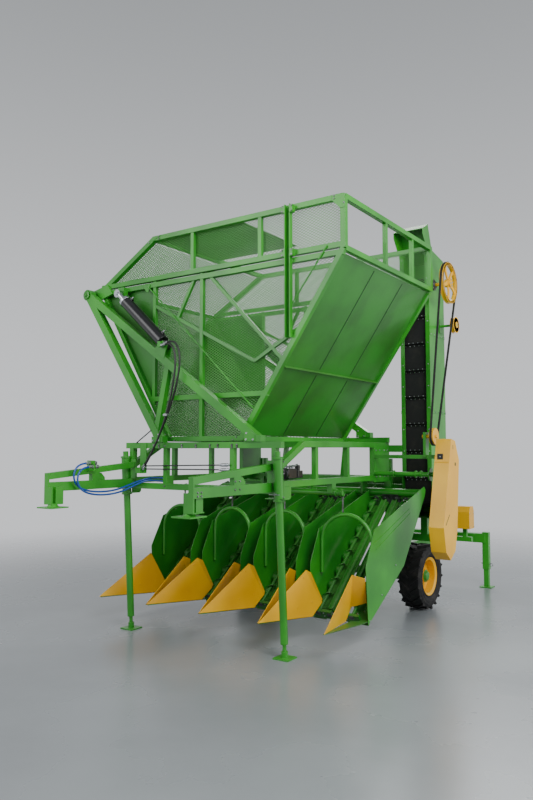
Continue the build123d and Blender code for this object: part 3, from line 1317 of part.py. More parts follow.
def hose(points, diameter):
    # A tube of straight runs joined by arcs as large as the runs allow
    spots = [Vector(*point) for point in points]
    radii = []
    for a, b, c in zip(spots, spots[1:], spots[2:]):
        turn = (b - a).get_angle(c - b)
        run = min((b - a).length, (c - b).length)
        radii.append(0.45 * run / math.tan(math.radians(turn / 2)))
    print("hose", diameter, "radii", [round(r) for r in radii])
    path = FilletPolyline(*spots, radius=radii)
    start = Plane(origin=spots[0], z_dir=spots[1] - spots[0])
    return sweep(start * Circle(diameter / 2), path=path)


def port(points):
    # The fitting in line with a hose's first run, behind its end
    a = Vector(*points[0])
    b = Vector(*points[1])
    back = (a - b).normalized() * PORT_LONG
    return pipe(tuple(a + back), tuple(a), PORT_R)


def black_ports():
    # The block on the front stand's ear that feeds the front cylinder
    ear_face = FRONT_Y - CYL_EYE_HALF - 17
    x = BLACK_HOSES[0][0][0] - PORT_LONG
    block = Pos(x, ear_face - 31, CYL_BASE[1] + 2) * Box(40, 62, 56)
    return [block] + [port(route) for route in BLACK_HOSES]


def frame_ports():
    # The bulkhead that hangs from the front frame's top rail, and the block on a post for the supply hoses
    face = FRONT_Y - RAIL / 2
    end_x, end_y, end_z = BLACK_HOSES[0][-1]
    hanger = post(end_x - 32, face - 4, end_z - 70, TOP_RAIL_Z + RAIL / 2, 90, 8)
    block = Pos(end_x - 32, face - 42, end_z - 42) * Box(70, 84, 60)
    ports = [hanger, block] + [port(route[::-1]) for route in BLACK_HOSES]
    last_x, last_y, last_z = BLUE_HOSES[0][-1]
    low_z = BLUE_HOSES[1][-1][2]
    ports.append(Pos(FRONT_POSTS_X[1], (last_y + POST / 2) / 2 + 8, (last_z + low_z) / 2) * Box(POST, last_y - POST / 2 + 32, 90))
    return ports


def blue_ports():
    # The quick couplings on the left arm that the supply hoses leave from
    bracket_x = BLUE_HOSES[1][0][0] - 12
    outer = -ARM_X + ARM_BEAM_WIDE / 2
    plate = Pos((outer + bracket_x) / 2, BLUE_HOSES[0][0][1] + PORT_LONG, BLUE_HOSES[0][0][2] - 25) * Box(
        bracket_x - outer + 30, 16, 100
    )
    return [plate] + [port(route) for route in BLUE_HOSES]


def build():
    nodes = {}
    nodes["front_frame"] = front_frame()
    nodes["leg_tubes"] = [leg_tube(side) for side in (-1, 1)]
    nodes["hitch_arms"] = [hitch_arm(side) for side in (-1, 1)]
    for side, name in ((-1, "left"), (1, "right")):
        nodes[f"front_foot_{name}"] = front_foot(side)
        nodes[f"rear_foot_{name}"] = rear_foot(side)
        nodes[f"wheel_rim_{name}"] = rim(side)
        nodes[f"tyre_{name}"] = tyre(side)
    nodes["upper_frame"] = upper_frame()
    nodes["rear_frame"] = rear_frame()
    nodes["chassis"] = chassis()
    nodes["basket_stands"] = [stand(FRONT_Y), stand(REAR_RAIL_Y)]
    nodes["header_tube"] = pivot_tube()
    nodes["divider_sheets"] = sheets()
    nodes["gearboxes"] = gearboxes()
    nodes["arches"] = arches()
    nodes["lift_chains"] = lift_chains()
    nodes["crop_points"] = points()
    nodes["row_floors"] = pans() + skids()
    one_roll = roll()
    one_auger = side_auger()
    for i, x in enumerate(ROW_X):
        for side, name in ((-1, "left"), (1, "right")):
            nodes[f"roll_{i + 1}_{name}"] = row_plane(x + side * ROLL_OFFSET, 0) * one_roll
            nodes[f"side_auger_{i + 1}_{name}"] = row_plane(x + side * AUGER_OFFSET, 0, AUGER_LIFT) * one_auger
    nodes["cross_auger"] = cross_auger()
    nodes["auger_trough"] = trough()
    nodes["elevator_housing"] = elevator_housing()
    nodes["elevator_conveyor"] = elevator_conveyor()
    nodes["elevator_drive"] = fuse(top_drum())
    nodes["elevator_hood"] = elevator_hood()
    nodes["drive_guard"] = drive_guard()
    nodes["drive_carriers"] = [guard_carrier(), idler_arm()]
    nodes["low_pulley"] = low_pulley()
    nodes["drive_belt"] = drive_belt()
    nodes["idler"] = idler()
    nodes["rear_guard"] = rear_guard()
    nodes["basket_frame"] = basket_frame() + guide_post()
    nodes["basket_sheets"] = basket_sheets() + gussets()
    nodes["basket_mesh"] = basket_mesh()
    nodes["cylinder_barrels"] = [barrel(FRONT_Y), barrel(REAR_RAIL_Y)]
    nodes["cylinder_rods"] = [rod(FRONT_Y), rod(REAR_RAIL_Y)]
    for i, route in enumerate(BLACK_HOSES):
        nodes[f"hose_black_{i + 1}"] = hose(route, BLACK_D)
    for i, route in enumerate(BLUE_HOSES):
        nodes[f"hose_blue_{i + 1}"] = hose(route, BLUE_D)
    return nodes


def main():
    os.makedirs("parts", exist_ok=True)
    for name, shape in build().items():
        if isinstance(shape, list):
            shape = Compound(children=[Pos(*SHIFT) * piece for piece in shape])
        else:
            shape = Pos(*SHIFT) * shape
        export_step(shape, f"parts/{name}.step")


if __name__ == "__main__":
    main()
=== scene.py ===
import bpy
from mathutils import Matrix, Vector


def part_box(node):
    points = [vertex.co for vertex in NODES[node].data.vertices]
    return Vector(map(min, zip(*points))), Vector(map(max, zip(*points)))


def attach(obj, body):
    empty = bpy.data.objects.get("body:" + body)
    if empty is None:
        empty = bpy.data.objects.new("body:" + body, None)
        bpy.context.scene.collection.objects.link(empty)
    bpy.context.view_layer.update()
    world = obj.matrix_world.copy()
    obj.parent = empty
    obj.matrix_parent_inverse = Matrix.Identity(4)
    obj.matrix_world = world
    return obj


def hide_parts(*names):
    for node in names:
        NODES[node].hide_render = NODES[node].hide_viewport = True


bl_info = {
    "name": "Cotton boll harvester finish",
    "version": (1, 0, 0),
    "blender": (4, 5, 0),
    "location": "3D View > Sidebar > Harvester",
    "description": "Paint, expanded metal, fasteners, hoses and stage for a four-row boll harvester",
    "category": "Object",
}

import math

import bpy
from mathutils import Matrix, Vector

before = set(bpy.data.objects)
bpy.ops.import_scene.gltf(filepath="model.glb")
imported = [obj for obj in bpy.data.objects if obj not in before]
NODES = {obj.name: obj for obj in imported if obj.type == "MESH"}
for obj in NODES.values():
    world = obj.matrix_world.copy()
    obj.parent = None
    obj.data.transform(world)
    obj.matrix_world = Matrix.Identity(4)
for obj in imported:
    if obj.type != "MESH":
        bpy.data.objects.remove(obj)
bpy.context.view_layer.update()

# Where the header's centre line, the divider tips and the floor lie in the frame, in metres
SHIFT = Vector((-0.109, -1.6515, 0.0))


def at(x, y, z):
    """A place on the machine in millimetres from the header's centre, the divider tips and the floor."""
    return Vector((x, y, z)) / 1000 + SHIFT


# Sizes shared with the solids, in millimetres
ROWS_X = (-1050, -350, 350, 1050)
DIVIDERS_X = (-1400, -700, 0, 700, 1400)
OUTER_SHEET_X = 1396
ROLL_LOW = (870, 275)
ROLL_RISE = math.radians(38.5)
ROLL_LENGTH = 1640
ROLL_OFFSET = 65
AUGER_OFFSET = 185
AUGER_LIFT = 12
ARCH_Y = 1000
LIFT_UNDER = 1400
BASKET_Y = (120, 2135)
BASKET_HALF_BAR = 25
BASKET_LOW_LEFT = (-500, 1975)
BASKET_LOW_RIGHT = (430, 1975)
BASKET_LEFT = (-1530, 3660)
BASKET_RIGHT = (1560, 3660)
BASKET_TOP_LEFT = (-740, 4130)
BASKET_TOP_RIGHT = (1560, 4130)
MESH_THICK = 3
TIP = (-1620, 3600)
CYLINDER_BASE = (-452, 2938)
CYLINDER_EYE = (-1160, 3565)
REAR_STAND_Y = 2255
WHEEL = (1170, 2690, 380)
DRUM = (2480, 3790)
PULLEY_X = 1650
LOW_SHAFT = (1950, 1600)
GUARD_FACE_X = 1900
REAR_GUARD_Y = 3930
REAR_LEG = (1410, 4420)
ARM_X = 870
ARM_HALF = 25
LEG_X = 960
ELEVATOR_WALLS = (1110, 1470, 2335, 2800)
SLATS = 7
SLAT_PITCH = 311
SKID_Z = 230
SKID_BEND_Y = 760

# Sizes of what is added here, in millimetres: the mesh's inset in its bay, where the steel lines and
# couplings stand, how far out the noses, pins and hubs end, and the ribs' place as a share of the walls
SLOPE_INSET = 55
LINE_Y = -37
COUPLING_Y = -648
NOSE_END = -55.5
PIN_END = 61
HINGE_END = 50
HUB_END = 60.4
DISC_FACE = 7
NUT_CIRCLE = 108
RIB_SHARE = 0.395

# The camera, solved from the photograph: place and lens in millimetres, turns in degrees
CAMERA_PLACE = (4516, -5389, 1864)
CAMERA_TILT = 94.023
CAMERA_TURN = 34.571
LENS = 31.96
SENSOR = 36.0

# The stage in metres: floor, where it fades, soft lights with their size and watts, and the point they face
FLOOR_SIZE = 60
FLOOR_FADE = (3.4, 11.0)
SWEEP_TOP = 0.75
LIGHTS = {
    "key": ((6.5, -4.5, 7.0), 4.0, 620),
    "right": ((8.0, 1.5, 3.2), 3.0, 240),
    "front": ((-3.5, -8.5, 6.0), 5.0, 300),
    "back": ((-1.0, 7.5, 7.0), 5.0, 420),
}
LIGHTS_AIM = Vector((0, 0, 1.6))

# Which finish each node of the frame takes, where it isn't the main green
NODE_FINISH = {
    "crop_points": "yellow", "drive_guard": "yellow", "rear_guard": "yellow", "elevator_drive": "yellow",
    "wheel_rim_left": "yellow", "wheel_rim_right": "yellow", "idler": "yellow", "low_pulley": "yellow",
    "tyre_left": "tyre", "tyre_right": "tyre", "drive_belt": "belt", "elevator_conveyor": "conveyor",
    # wall is the main green darkened as painted shade for the basket's downward-facing sheets
    "cylinder_barrels": "black", "cylinder_rods": "chrome", "gearboxes": "iron", "basket_sheets": "wall",
    # deep is the main green darkened as painted shade for the unlit parts inside the rows
    "row_floors": "deep", "auger_trough": "deep", "cross_auger": "deep", "lift_chains": "worn",
}

# Each hose's finish, diameter in millimetres, length in metres, and route in millimetres from port to port
HOSES = {
    "hose_black_1": ("hose", 20, 1.562, (
        (-412, -62, 2950), (-335, -64, 2968), (-262, -70, 2945), (-212, -78, 2880), (-188, -86, 2790),
        (-188, -92, 2680), (-208, -98, 2560), (-243, -102, 2430), (-292, -104, 2300), (-352, -104, 2170),
        (-424, -102, 2040), (-502, -97, 1910), (-582, -88, 1806), (-650, -74, 1735), (-692, -62, 1697),
    )),
    "hose_black_2": ("hose", 20, 1.502, (
        (-412, -92, 2930), (-345, -94, 2942), (-282, -100, 2915), (-240, -108, 2854), (-220, -116, 2766),
        (-220, -122, 2654), (-236, -128, 2532), (-262, -132, 2404), (-298, -134, 2276), (-346, -134, 2148),
        (-406, -132, 2022), (-476, -126, 1904), (-550, -116, 1802), (-618, -102, 1726), (-664, -90, 1682),
    )),
    "hose_blue_1": ("blue", 18, 1.490, (
        (-800, -702, 1737), (-800, -772, 1736), (-800, -850, 1702), (-800, -884, 1622), (-799, -856, 1540),
        (-797, -776, 1488), (-793, -640, 1460), (-788, -470, 1454), (-782, -300, 1474), (-768, -140, 1522),
        (-733, 0, 1563), (-645, 50, 1579), (-545, 57, 1577), (-456, 57, 1577),
    )),
    "hose_blue_2": ("blue", 18, 1.428, (
        (-770, -690, 1703), (-770, -757, 1701), (-770, -832, 1668), (-770, -864, 1590), (-769, -838, 1510),
        (-767, -762, 1458), (-763, -630, 1430), (-758, -466, 1426), (-752, -300, 1448), (-738, -146, 1502),
        (-700, -12, 1554), (-618, 44, 1546), (-535, 57, 1543), (-456, 57, 1543),
    )),
}


# Paint and metal

def linear(code):
    """An sRGB hex colour as the linear values that a shader takes."""
    parts = [int(code[i:i + 2], 16) / 255 for i in (1, 3, 5)]
    return tuple((p / 12.92 if p <= 0.04045 else ((p + 0.055) / 1.055) ** 2.4) for p in parts) + (1.0,)


def add(tree, kind, inputs=None, **settings):
    """Add one node, set its properties, and set or link its inputs."""
    node = tree.nodes.new(kind)
    for name, value in settings.items():
        setattr(node, name, value)
    for name, value in (inputs or {}).items():
        if isinstance(value, bpy.types.NodeSocket):
            tree.links.new(value, node.inputs[name])
        else:
            node.inputs[name].default_value = value
    return node


def blank(name):
    made = bpy.data.materials.new(name)
    made.use_nodes = True
    made.node_tree.nodes.clear()
    return made, made.node_tree


def finish_shader(tree, inputs):
    shader = add(tree, "ShaderNodeBsdfPrincipled", inputs)
    add(tree, "ShaderNodeOutputMaterial", {"Surface": shader.outputs[0]})


def ramp(tree, factor, low, high):
    """A smooth step of a value between two levels."""
    return add(tree, "ShaderNodeMapRange", {"Value": factor, "From Min": low, "From Max": high},
               interpolation_type="SMOOTHSTEP").outputs[0]


def tint(tree, share, under, over):
    """Mix two colours by a share."""
    mix = add(tree, "ShaderNodeMix", data_type="RGBA")
    for slot, value in ((0, share), (6, under), (7, over)):
        if isinstance(value, bpy.types.NodeSocket):
            tree.links.new(value, mix.inputs[slot])
        else:
            mix.inputs[slot].default_value = value
    return mix.outputs[2]


def noise(tree, scale, detail, roughness=0.5):
    """A noise on the piece's own coordinates, its scale in ridges a metre."""
    place = add(tree, "ShaderNodeTexCoord").outputs["Object"]
    inputs = {"Vector": place, "Scale": scale, "Detail": detail, "Roughness": roughness}
    return add(tree, "ShaderNodeTexNoise", inputs).outputs[0]


def spread(tree, value, low, high):
    return add(tree, "ShaderNodeMapRange", {"Value": value, "To Min": low, "To Max": high}).outputs[0]


def enamel(name, colour, shade, dust, roughness, dust_share):
    """Sprayed machine enamel over welded steel: a soft gloss, faint orange peel, slow shade drift,
    pale field dust on what faces up and rubbed paint on the edges."""
    made, tree = blank(name)
    drift = noise(tree, 1.7, 3.0)
    # 9 mm orange peel; the real one is about 2 mm, which is too fine for the picture
    peel = noise(tree, 110.0, 2.0)
    speck = noise(tree, 38.0, 8.0, 0.75)
    paint = tint(tree, ramp(tree, drift, 0.35, 0.7), linear(shade), linear(colour))
    normal = add(tree, "ShaderNodeNewGeometry").outputs["Normal"]
    up = add(tree, "ShaderNodeSeparateXYZ", {"Vector": normal}).outputs["Z"]
    lying = add(tree, "ShaderNodeMath", {0: ramp(tree, up, 0.25, 1.0), 1: ramp(tree, speck, 0.3, 0.75)},
                operation="MULTIPLY").outputs[0]
    film = add(tree, "ShaderNodeMath", {0: lying, 1: dust_share}, operation="MULTIPLY").outputs[0]
    dusty = tint(tree, film, paint, linear(dust))
    soft = add(tree, "ShaderNodeBevel", {"Radius": 0.004}, samples=4).outputs[0]
    worn = add(tree, "ShaderNodeVectorMath", {0: soft, 1: normal}, operation="DOT_PRODUCT").outputs["Value"]
    edge = add(tree, "ShaderNodeMath", {0: ramp(tree, worn, 0.985, 0.86), 1: ramp(tree, speck, 0.52, 0.66)},
               operation="MULTIPLY").outputs[0]
    rubbed = tint(tree, edge, dusty, linear("#9aa08c"))
    gloss = spread(tree, speck, roughness - 0.05, roughness + 0.13)
    relief = {"Strength": 0.05, "Distance": 0.002, "Height": peel, "Normal": soft}
    bump = add(tree, "ShaderNodeBump", relief).outputs[0]
    finish_shader(tree, {"Base Color": rubbed, "Roughness": gloss, "Normal": bump, "Coat Weight": 0.2,
                         "Coat Roughness": 0.14, "IOR": 1.5})
    return made


def metal(name, colour, dark, roughness, grain):
    """Bare or plated steel: a dull grey sheen with fine directional rubbing and darker stains."""
    made, tree = blank(name)
    stain = noise(tree, 14.0, 5.0)
    rub = noise(tree, grain, 4.0)
    colour_out = tint(tree, ramp(tree, stain, 0.3, 0.7), linear(dark), linear(colour))
    gloss = spread(tree, rub, roughness - 0.08, roughness + 0.12)
    bump = add(tree, "ShaderNodeBump", {"Strength": 0.08, "Distance": 0.001, "Height": rub}).outputs[0]
    finish_shader(tree, {"Base Color": colour_out, "Metallic": 1.0, "Roughness": gloss, "Normal": bump})
    return made


def rubber(name, colour, dust, roughness, grain):
    """Carbon-black or coloured rubber: matt, with a fine moulded grain and a grey bloom of dust."""
    made, tree = blank(name)
    bloom = noise(tree, 9.0, 7.0, 0.65)
    fine = noise(tree, grain, 3.0)
    colour_out = tint(tree, ramp(tree, bloom, 0.45, 0.8), linear(colour), linear(dust))
    bump = add(tree, "ShaderNodeBump", {"Strength": 0.15, "Distance": 0.001, "Height": fine}).outputs[0]
    finish_shader(tree, {"Base Color": colour_out, "Roughness": roughness, "Normal": bump, "IOR": 1.5})
    return made


def floor_finish(look):
    """Pale sealed concrete: a faint cloud and a soft sheen, fading far off into the studio's sweep."""
    made, tree = blank("sealed_concrete")
    place = add(tree, "ShaderNodeTexCoord").outputs["Object"]
    cloud = noise(tree, 0.6, 6.0)
    colour_out = tint(tree, ramp(tree, cloud, 0.3, 0.7), linear(look.floor_shade), linear(look.floor))
    gloss = spread(tree, cloud, 0.2, 0.34)
    inputs = {"Base Color": colour_out, "Roughness": gloss, "IOR": 1.45}
    shader = add(tree, "ShaderNodeBsdfPrincipled", inputs)
    reach = add(tree, "ShaderNodeVectorMath", {0: place}, operation="LENGTH").outputs["Value"]
    gone = add(tree, "ShaderNodeBsdfTransparent")
    share = ramp(tree, reach, *FLOOR_FADE)
    mix = add(tree, "ShaderNodeMixShader", {0: share, 1: shader.outputs[0], 2: gone.outputs[0]})
    add(tree, "ShaderNodeOutputMaterial", {"Surface": mix.outputs[0]})
    return made


FINISH = {}


def make_finishes(look):
    FINISH.update({
        "green": enamel("green_machine_enamel", look.green, look.green_shade, "#9db07c", 0.34, 0.08),
        # The inner green is the main green darkened as painted shade inside the rows; its larger dust share
        # is real field dust
        "deep": enamel("green_enamel_dusty_painted_shade", look.green_inside_painted_shade, look.green_shade, "#8fa070", 0.46, 0.2),
        # The sheet green is the main green darkened as painted shade on the basket's downward-facing walls;
        # its dust is real
        "wall": enamel("green_sheet_enamel_painted_shade", look.green_wall_painted_shade, look.green_shade, "#8a8f58", 0.4, 0.25),
        "net": enamel("green_mesh_enamel", look.green_net, look.green, "#c6d2b8", 0.42, 0.3),
        "yellow": enamel("yellow_machine_enamel", look.yellow, look.yellow_shade, "#efd68a", 0.36, 0.06),
        "bright": metal("zinc_plated_steel", "#b9bcbf", "#8e9296", 0.36, 260.0),
        "worn": metal("rubbed_mild_steel", "#8d8f90", "#5c5c5a", 0.42, 180.0),
        "chrome": metal("hard_chromed_steel", "#d5d8dc", "#c3c7cc", 0.16, 400.0),
        "iron": metal("grey_cast_iron", "#6f7472", "#4f5452", 0.55, 120.0),
        "black": enamel("black_stove_enamel", "#17181a", "#101113", "#6a6a66", 0.26, 0.06),
        "tyre": rubber("tyre_rubber", "#161617", "#3a3835", 0.82, 380.0),
        "belt": rubber("drive_belt_rubber", "#191919", "#37352f", 0.7, 600.0),
        "hose": rubber("black_hose_rubber", "#141414", "#2c2b29", 0.42, 500.0),
        "blue": rubber("blue_hose_rubber", "#17479a", "#3463a8", 0.34, 500.0),
        "conveyor": rubber("conveyor_belt_rubber", "#101112", "#26241f", 0.78, 420.0),
        # A near-black green as painted shadow: strips in the wall seams' recesses and in the guard's slots
        "painted_shadow": rubber("dark_green_painted_seam_shadow", "#0d2f10", "#17401a", 0.6, 300.0),
        "floor": floor_finish(look),
    })


# Shaping

def alone(piece):
    bpy.ops.object.select_all(action="DESELECT")
    piece.select_set(True)
    bpy.context.view_layer.objects.active = piece
    return piece


def start(primitive, name, **settings):
    """Add a primitive and name it; it comes alone selected."""
    bpy.ops.object.select_all(action="DESELECT")
    primitive(**settings)
    piece = bpy.context.active_object
    piece.name = name
    piece.data.name = name
    return piece


def settle(piece):
    """Put the piece's place into its mesh."""
    alone(piece)
    bpy.ops.object.transform_apply(location=True, rotation=True, scale=True)
    return piece


def applied(piece, kind, **settings):
    """Add a modifier and apply it."""
    alone(piece)
    step = piece.modifiers.new(kind.lower(), kind)
    for name, value in settings.items():
        setattr(step, name, value)
    bpy.ops.object.modifier_apply(modifier=step.name)
    return piece


def twin(piece, place):
    """A copy with its own mesh, its place given as a matrix."""
    other = piece.copy()
    other.data = piece.data.copy()
    bpy.context.scene.collection.objects.link(other)
    other.matrix_world = place
    return other


def many(piece, places):
    """The piece at the first place and a copy of it at each of the others."""
    copies = [twin(piece, place) for place in places[1:]]
    piece.matrix_world = places[0]
    return [piece, *copies]


def joined(pieces, name):
    bpy.ops.object.select_all(action="DESELECT")
    for piece in pieces:
        piece.select_set(True)
    bpy.context.view_layer.objects.active = pieces[0]
    if len(pieces) > 1:
        bpy.ops.object.join()
    whole = bpy.context.active_object
    whole.name = name
    whole.data.name = name
    return settle(whole)


def edit(piece, kind="VERT"):
    alone(piece)
    bpy.ops.object.mode_set(mode="EDIT")
    bpy.ops.mesh.select_mode(type=kind)


def done():
    bpy.ops.object.mode_set(mode="OBJECT")


def aim(point, direction, turn=0.0):
    """A matrix that puts a piece's Z along a direction at a point."""
    facing = Vector(direction).to_track_quat("Z", "Y").to_matrix().to_4x4()
    return Matrix.Translation(point) @ facing @ Matrix.Rotation(turn, 4, "Z")


def axes(point, x_dir, y_dir):
    """A matrix that lays a piece's X and Y along two directions at a point."""
    x = Vector(x_dir).normalized()
    z = x.cross(Vector(y_dir)).normalized()
    y = z.cross(x)
    turn = Matrix((x, y, z)).transposed().to_4x4()
    return Matrix.Translation(point) @ turn


def on_row(x, along, up=0):
    """A place measured up the slope of the rolls and square to it."""
    y = ROLL_LOW[0] + along * math.cos(ROLL_RISE) - up * math.sin(ROLL_RISE)
    z = ROLL_LOW[1] + along * math.sin(ROLL_RISE) + up * math.cos(ROLL_RISE)
    return at(x, y, z)


LEFT, RIGHT, FRONT, BACK, UP = (-1, 0, 0), (1, 0, 0), (0, -1, 0), (0, 1, 0), (0, 0, 1)
UP_ROW = Vector((0, math.cos(ROLL_RISE), math.sin(ROLL_RISE)))
OFF_ROW = Vector((0, -math.sin(ROLL_RISE), math.cos(ROLL_RISE)))


def dress(piece, finish, body):
    """Give a finished piece its material and its body."""
    piece.data.materials.clear()
    piece.data.materials.append(FINISH[finish])
    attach(piece, body)
    return piece


def smooth(piece, degrees=35):
    alone(piece)
    bpy.ops.object.shade_smooth_by_angle(angle=math.radians(degrees))
    return piece


def block(name, middle, size, edge=2.0, turn=None):
    """A welded or cast block with eased edges, its middle as at() gives it and its size in millimetres."""
    piece = start(bpy.ops.mesh.primitive_cube_add, name, size=1)
    piece.scale = Vector(size) / 1000
    settle(piece)
    applied(piece, "BEVEL", width=edge / 1000, segments=2, limit_method="ANGLE")
    piece.matrix_world = Matrix.Translation(middle) @ (turn or Matrix.Identity(4))
    return settle(piece)


def rod(name, a, b, radius, sides=12):
    """A round bar between two places with chamfered ends."""
    piece = start(bpy.ops.mesh.primitive_cylinder_add, name, vertices=sides, radius=radius / 1000,
                  depth=(b - a).length)
    chamfer = min(radius * 0.25, 2) / 1000
    applied(piece, "BEVEL", width=chamfer, segments=1, limit_method="ANGLE", angle_limit=1.0)
    piece.matrix_world = aim((a + b) / 2, b - a)
    return smooth(settle(piece))


def turned(name, profile, sides=32, ring=False):
    """A shape turned about Z: a circle is extruded and scaled from one radius and height to the next.
    A ring's profile comes back to its start."""
    radius, height = profile[0]
    piece = start(bpy.ops.mesh.primitive_circle_add, name, vertices=sides, radius=radius / 1000,
                  fill_type="NOTHING" if ring else "NGON", location=(0, 0, height / 1000))
    settle(piece)
    edit(piece, "EDGE" if ring else "FACE")
    bpy.ops.mesh.select_all(action="SELECT")
    for next_radius, next_height in (*profile[1:], *([profile[0]] if ring else [])):
        rise = (0, 0, (next_height - height) / 1000)
        bpy.ops.mesh.extrude_region_move(TRANSFORM_OT_translate={"value": rise})
        share = next_radius / radius
        bpy.ops.transform.resize(value=(share, share, 1), center_override=(0, 0, next_height / 1000))
        radius, height = next_radius, next_height
    bpy.ops.mesh.select_all(action="SELECT")
    bpy.ops.mesh.remove_doubles(threshold=0.00002)
    bpy.ops.mesh.normals_make_consistent(inside=False)
    done()
    return smooth(piece)


def plate(name, outline, thick, place, edge=1.0):
    """A flat convex plate, its corners in millimetres on the place's X and Y, its thickness along Z."""
    reach = max(max(abs(c) for c in corner) for corner in outline) / 1000 + 0.01
    piece = start(bpy.ops.mesh.primitive_plane_add, name, size=2 * reach)
    trim(piece, [Vector((x, y, 0)) / 1000 for x, y in outline], Vector((0, 0, 1)))
    applied(piece, "SOLIDIFY", thickness=thick / 1000, offset=1)
    applied(piece, "BEVEL", width=edge / 1000, segments=1, limit_method="ANGLE")
    piece.matrix_world = place
    return settle(piece)


def trim(panel, corners, facing):
    """Cut away all that lies outside a convex outline."""
    middle = sum(corners, Vector()) / len(corners)
    edit(panel)
    for a, b in zip(corners, corners[1:] + corners[:1]):
        outward = (b - a).cross(facing).normalized()
        if outward.dot(a - middle) < 0:
            outward = -outward
        bpy.ops.mesh.select_all(action="SELECT")
        bpy.ops.mesh.bisect(plane_co=a, plane_no=outward, clear_outer=True)
    done()


def expanded(name, outline, cell, place):
    """Expanded metal: one opening is cut from a diamond, repeated over the bay, trimmed along its outline and
    given its thickness. The outline is in millimetres on the place's X and Y."""
    wide, high, strand = cell
    lows = [min(p[i] for p in outline) for i in (0, 1)]
    highs = [max(p[i] for p in outline) for i in (0, 1)]
    panel = start(bpy.ops.mesh.primitive_circle_add, name, vertices=4, radius=1, fill_type="NGON")
    panel.scale = ((wide / 2 + strand) / 1000, (high / 2 + strand * high / wide) / 1000, 1)
    settle(panel)
    edit(panel, "FACE")
    bpy.ops.mesh.select_all(action="SELECT")
    bpy.ops.mesh.inset(thickness=strand / 1000)
    bpy.ops.mesh.delete(type="FACE")
    done()
    corners = [Vector((x * wide, y * high, 0)) / 2000 for x, y in ((-1, -1), (1, -1), (1, 1), (-1, 1))]
    trim(panel, corners, Vector((0, 0, 1)))
    across = int((highs[0] - lows[0]) / wide) + 2
    upward = int((highs[1] - lows[1]) / high) + 2
    for count, offset in ((across, (wide / 1000, 0, 0)), (upward, (0, high / 1000, 0))):
        applied(panel, "ARRAY", count=count, use_relative_offset=False, use_constant_offset=True,
                constant_offset_displace=offset, use_merge_vertices=True, merge_threshold=0.0004)
    panel.location = (lows[0] / 1000, lows[1] / 1000, 0)
    settle(panel)
    trim(panel, [Vector((x, y, 0)) / 1000 for x, y in outline], Vector((0, 0, 1)))
    applied(panel, "SOLIDIFY", thickness=MESH_THICK / 1000, offset=0)
    panel.matrix_world = place
    return settle(panel)


def bolt(across):
    """One flanged hexagon bolt head standing on Z, its size across flats in millimetres."""
    thick = across * 0.45
    head = start(bpy.ops.mesh.primitive_cylinder_add, "bolt", vertices=6, radius=across / 1732,
                 depth=thick / 1000, location=(0, 0, (thick * 0.5 + 1.5) / 1000))
    flange = start(bpy.ops.mesh.primitive_cylinder_add, "flange", vertices=14, radius=across / 1500,
                   depth=0.003, location=(0, 0, 0.0005))
    whole = joined([head, flange], "bolt")
    return applied(whole, "BEVEL", width=across / 14000, segments=1, limit_method="ANGLE")


def bolts(spots, across):
    """Bolt heads at pairs of a place and the direction that the head faces, each turned a little more."""
    head = bolt(across)
    return many(head, [aim(place, direction, i * 0.7) for i, (place, direction) in enumerate(spots)])


def circle(x, y, z, radius, count, first):
    """Places evenly round an axle that lies along X, in millimetres, the first at an angle in degrees."""
    angles = [math.radians(first + 360 / count * i) for i in range(count)]
    return [at(x, y + radius * math.cos(a), z + radius * math.sin(a)) for a in angles]


def heads(way, *places):
    """Spots for bolts that face one way, their places in millimetres."""
    return [(at(*place), way) for place in places]


def gather(name, pieces, finish, body):
    """Join what makes one piece and dress it."""
    return dress(joined(pieces, name), finish, body)


def fitted(name, profile, sides, places, finish, body, ring=False):
    """One turned part, copied to each of its places."""
    gather(name, many(turned(name, profile, sides, ring), places), finish, body)


def fasten(name, spots, across, finish, body):
    gather(name, bolts(spots, across), finish, body)


# The settings that a user would change

def shade(name, description, default):
    """A colour setting as an sRGB hex code."""
    return bpy.props.StringProperty(name=name, description=description, default=default)


def size(name, description, default, least):
    """A size setting in millimetres."""
    return bpy.props.FloatProperty(name=name, description=description, default=default, min=least)


class HarvesterLook(bpy.types.PropertyGroup):
    green: shade("Green", "Main enamel, sRGB hex", "#319a1f")
    # A darker copy of the main green, painted shade for the parts inside the rows
    green_inside_painted_shade: shade("Inner green", "Enamel inside the rows", "#1b6116")
    # A darker copy of the main green, painted shade on the basket's slanting sheets
    green_wall_painted_shade: shade("Sheet green", "Enamel on the basket's sheets", "#1f5a13")
    green_net: shade("Mesh green", "Enamel on the mesh, worn pale", "#5aa850")
    green_shade: shade("Green shade", "Thin or aged enamel", "#237a19")
    yellow: shade("Yellow", "Guard and point enamel", "#ecb400")
    yellow_shade: shade("Yellow shade", "Aged yellow", "#dca200")
    floor: shade("Floor", "Sealed concrete", "#8f9497")
    floor_shade: shade("Floor shade", "Clouds in the concrete", "#82878a")
    sweep: shade("Sweep", "Studio behind the machine", "#e6e8eb")
    sweep_top: shade("Sweep, high up", "Studio above the machine", "#969a9d")


class HarvesterMesh(bpy.types.PropertyGroup):
    cell_wide: size("Cell width", "Millimetres, long way", 44.0, 20)
    cell_high: size("Cell height", "Millimetres, short way", 26.0, 12)
    strand: size("Strand", "Width of one strand in millimetres", 4.0, 1)


class HARVESTER_OT_camera(bpy.types.Operator):
    """Set the camera where the photograph was taken from"""
    bl_idname = "harvester.camera"
    bl_label = "Camera"

    def execute(self, context):
        lens = bpy.data.cameras.new("camera")
        lens.lens = LENS
        lens.sensor_width = SENSOR
        camera = bpy.data.objects.new("camera", lens)
        context.scene.collection.objects.link(camera)
        camera.location = at(*CAMERA_PLACE)
        camera.rotation_euler = (math.radians(CAMERA_TILT), 0, math.radians(CAMERA_TURN))
        context.scene.camera = camera
        return {"FINISHED"}


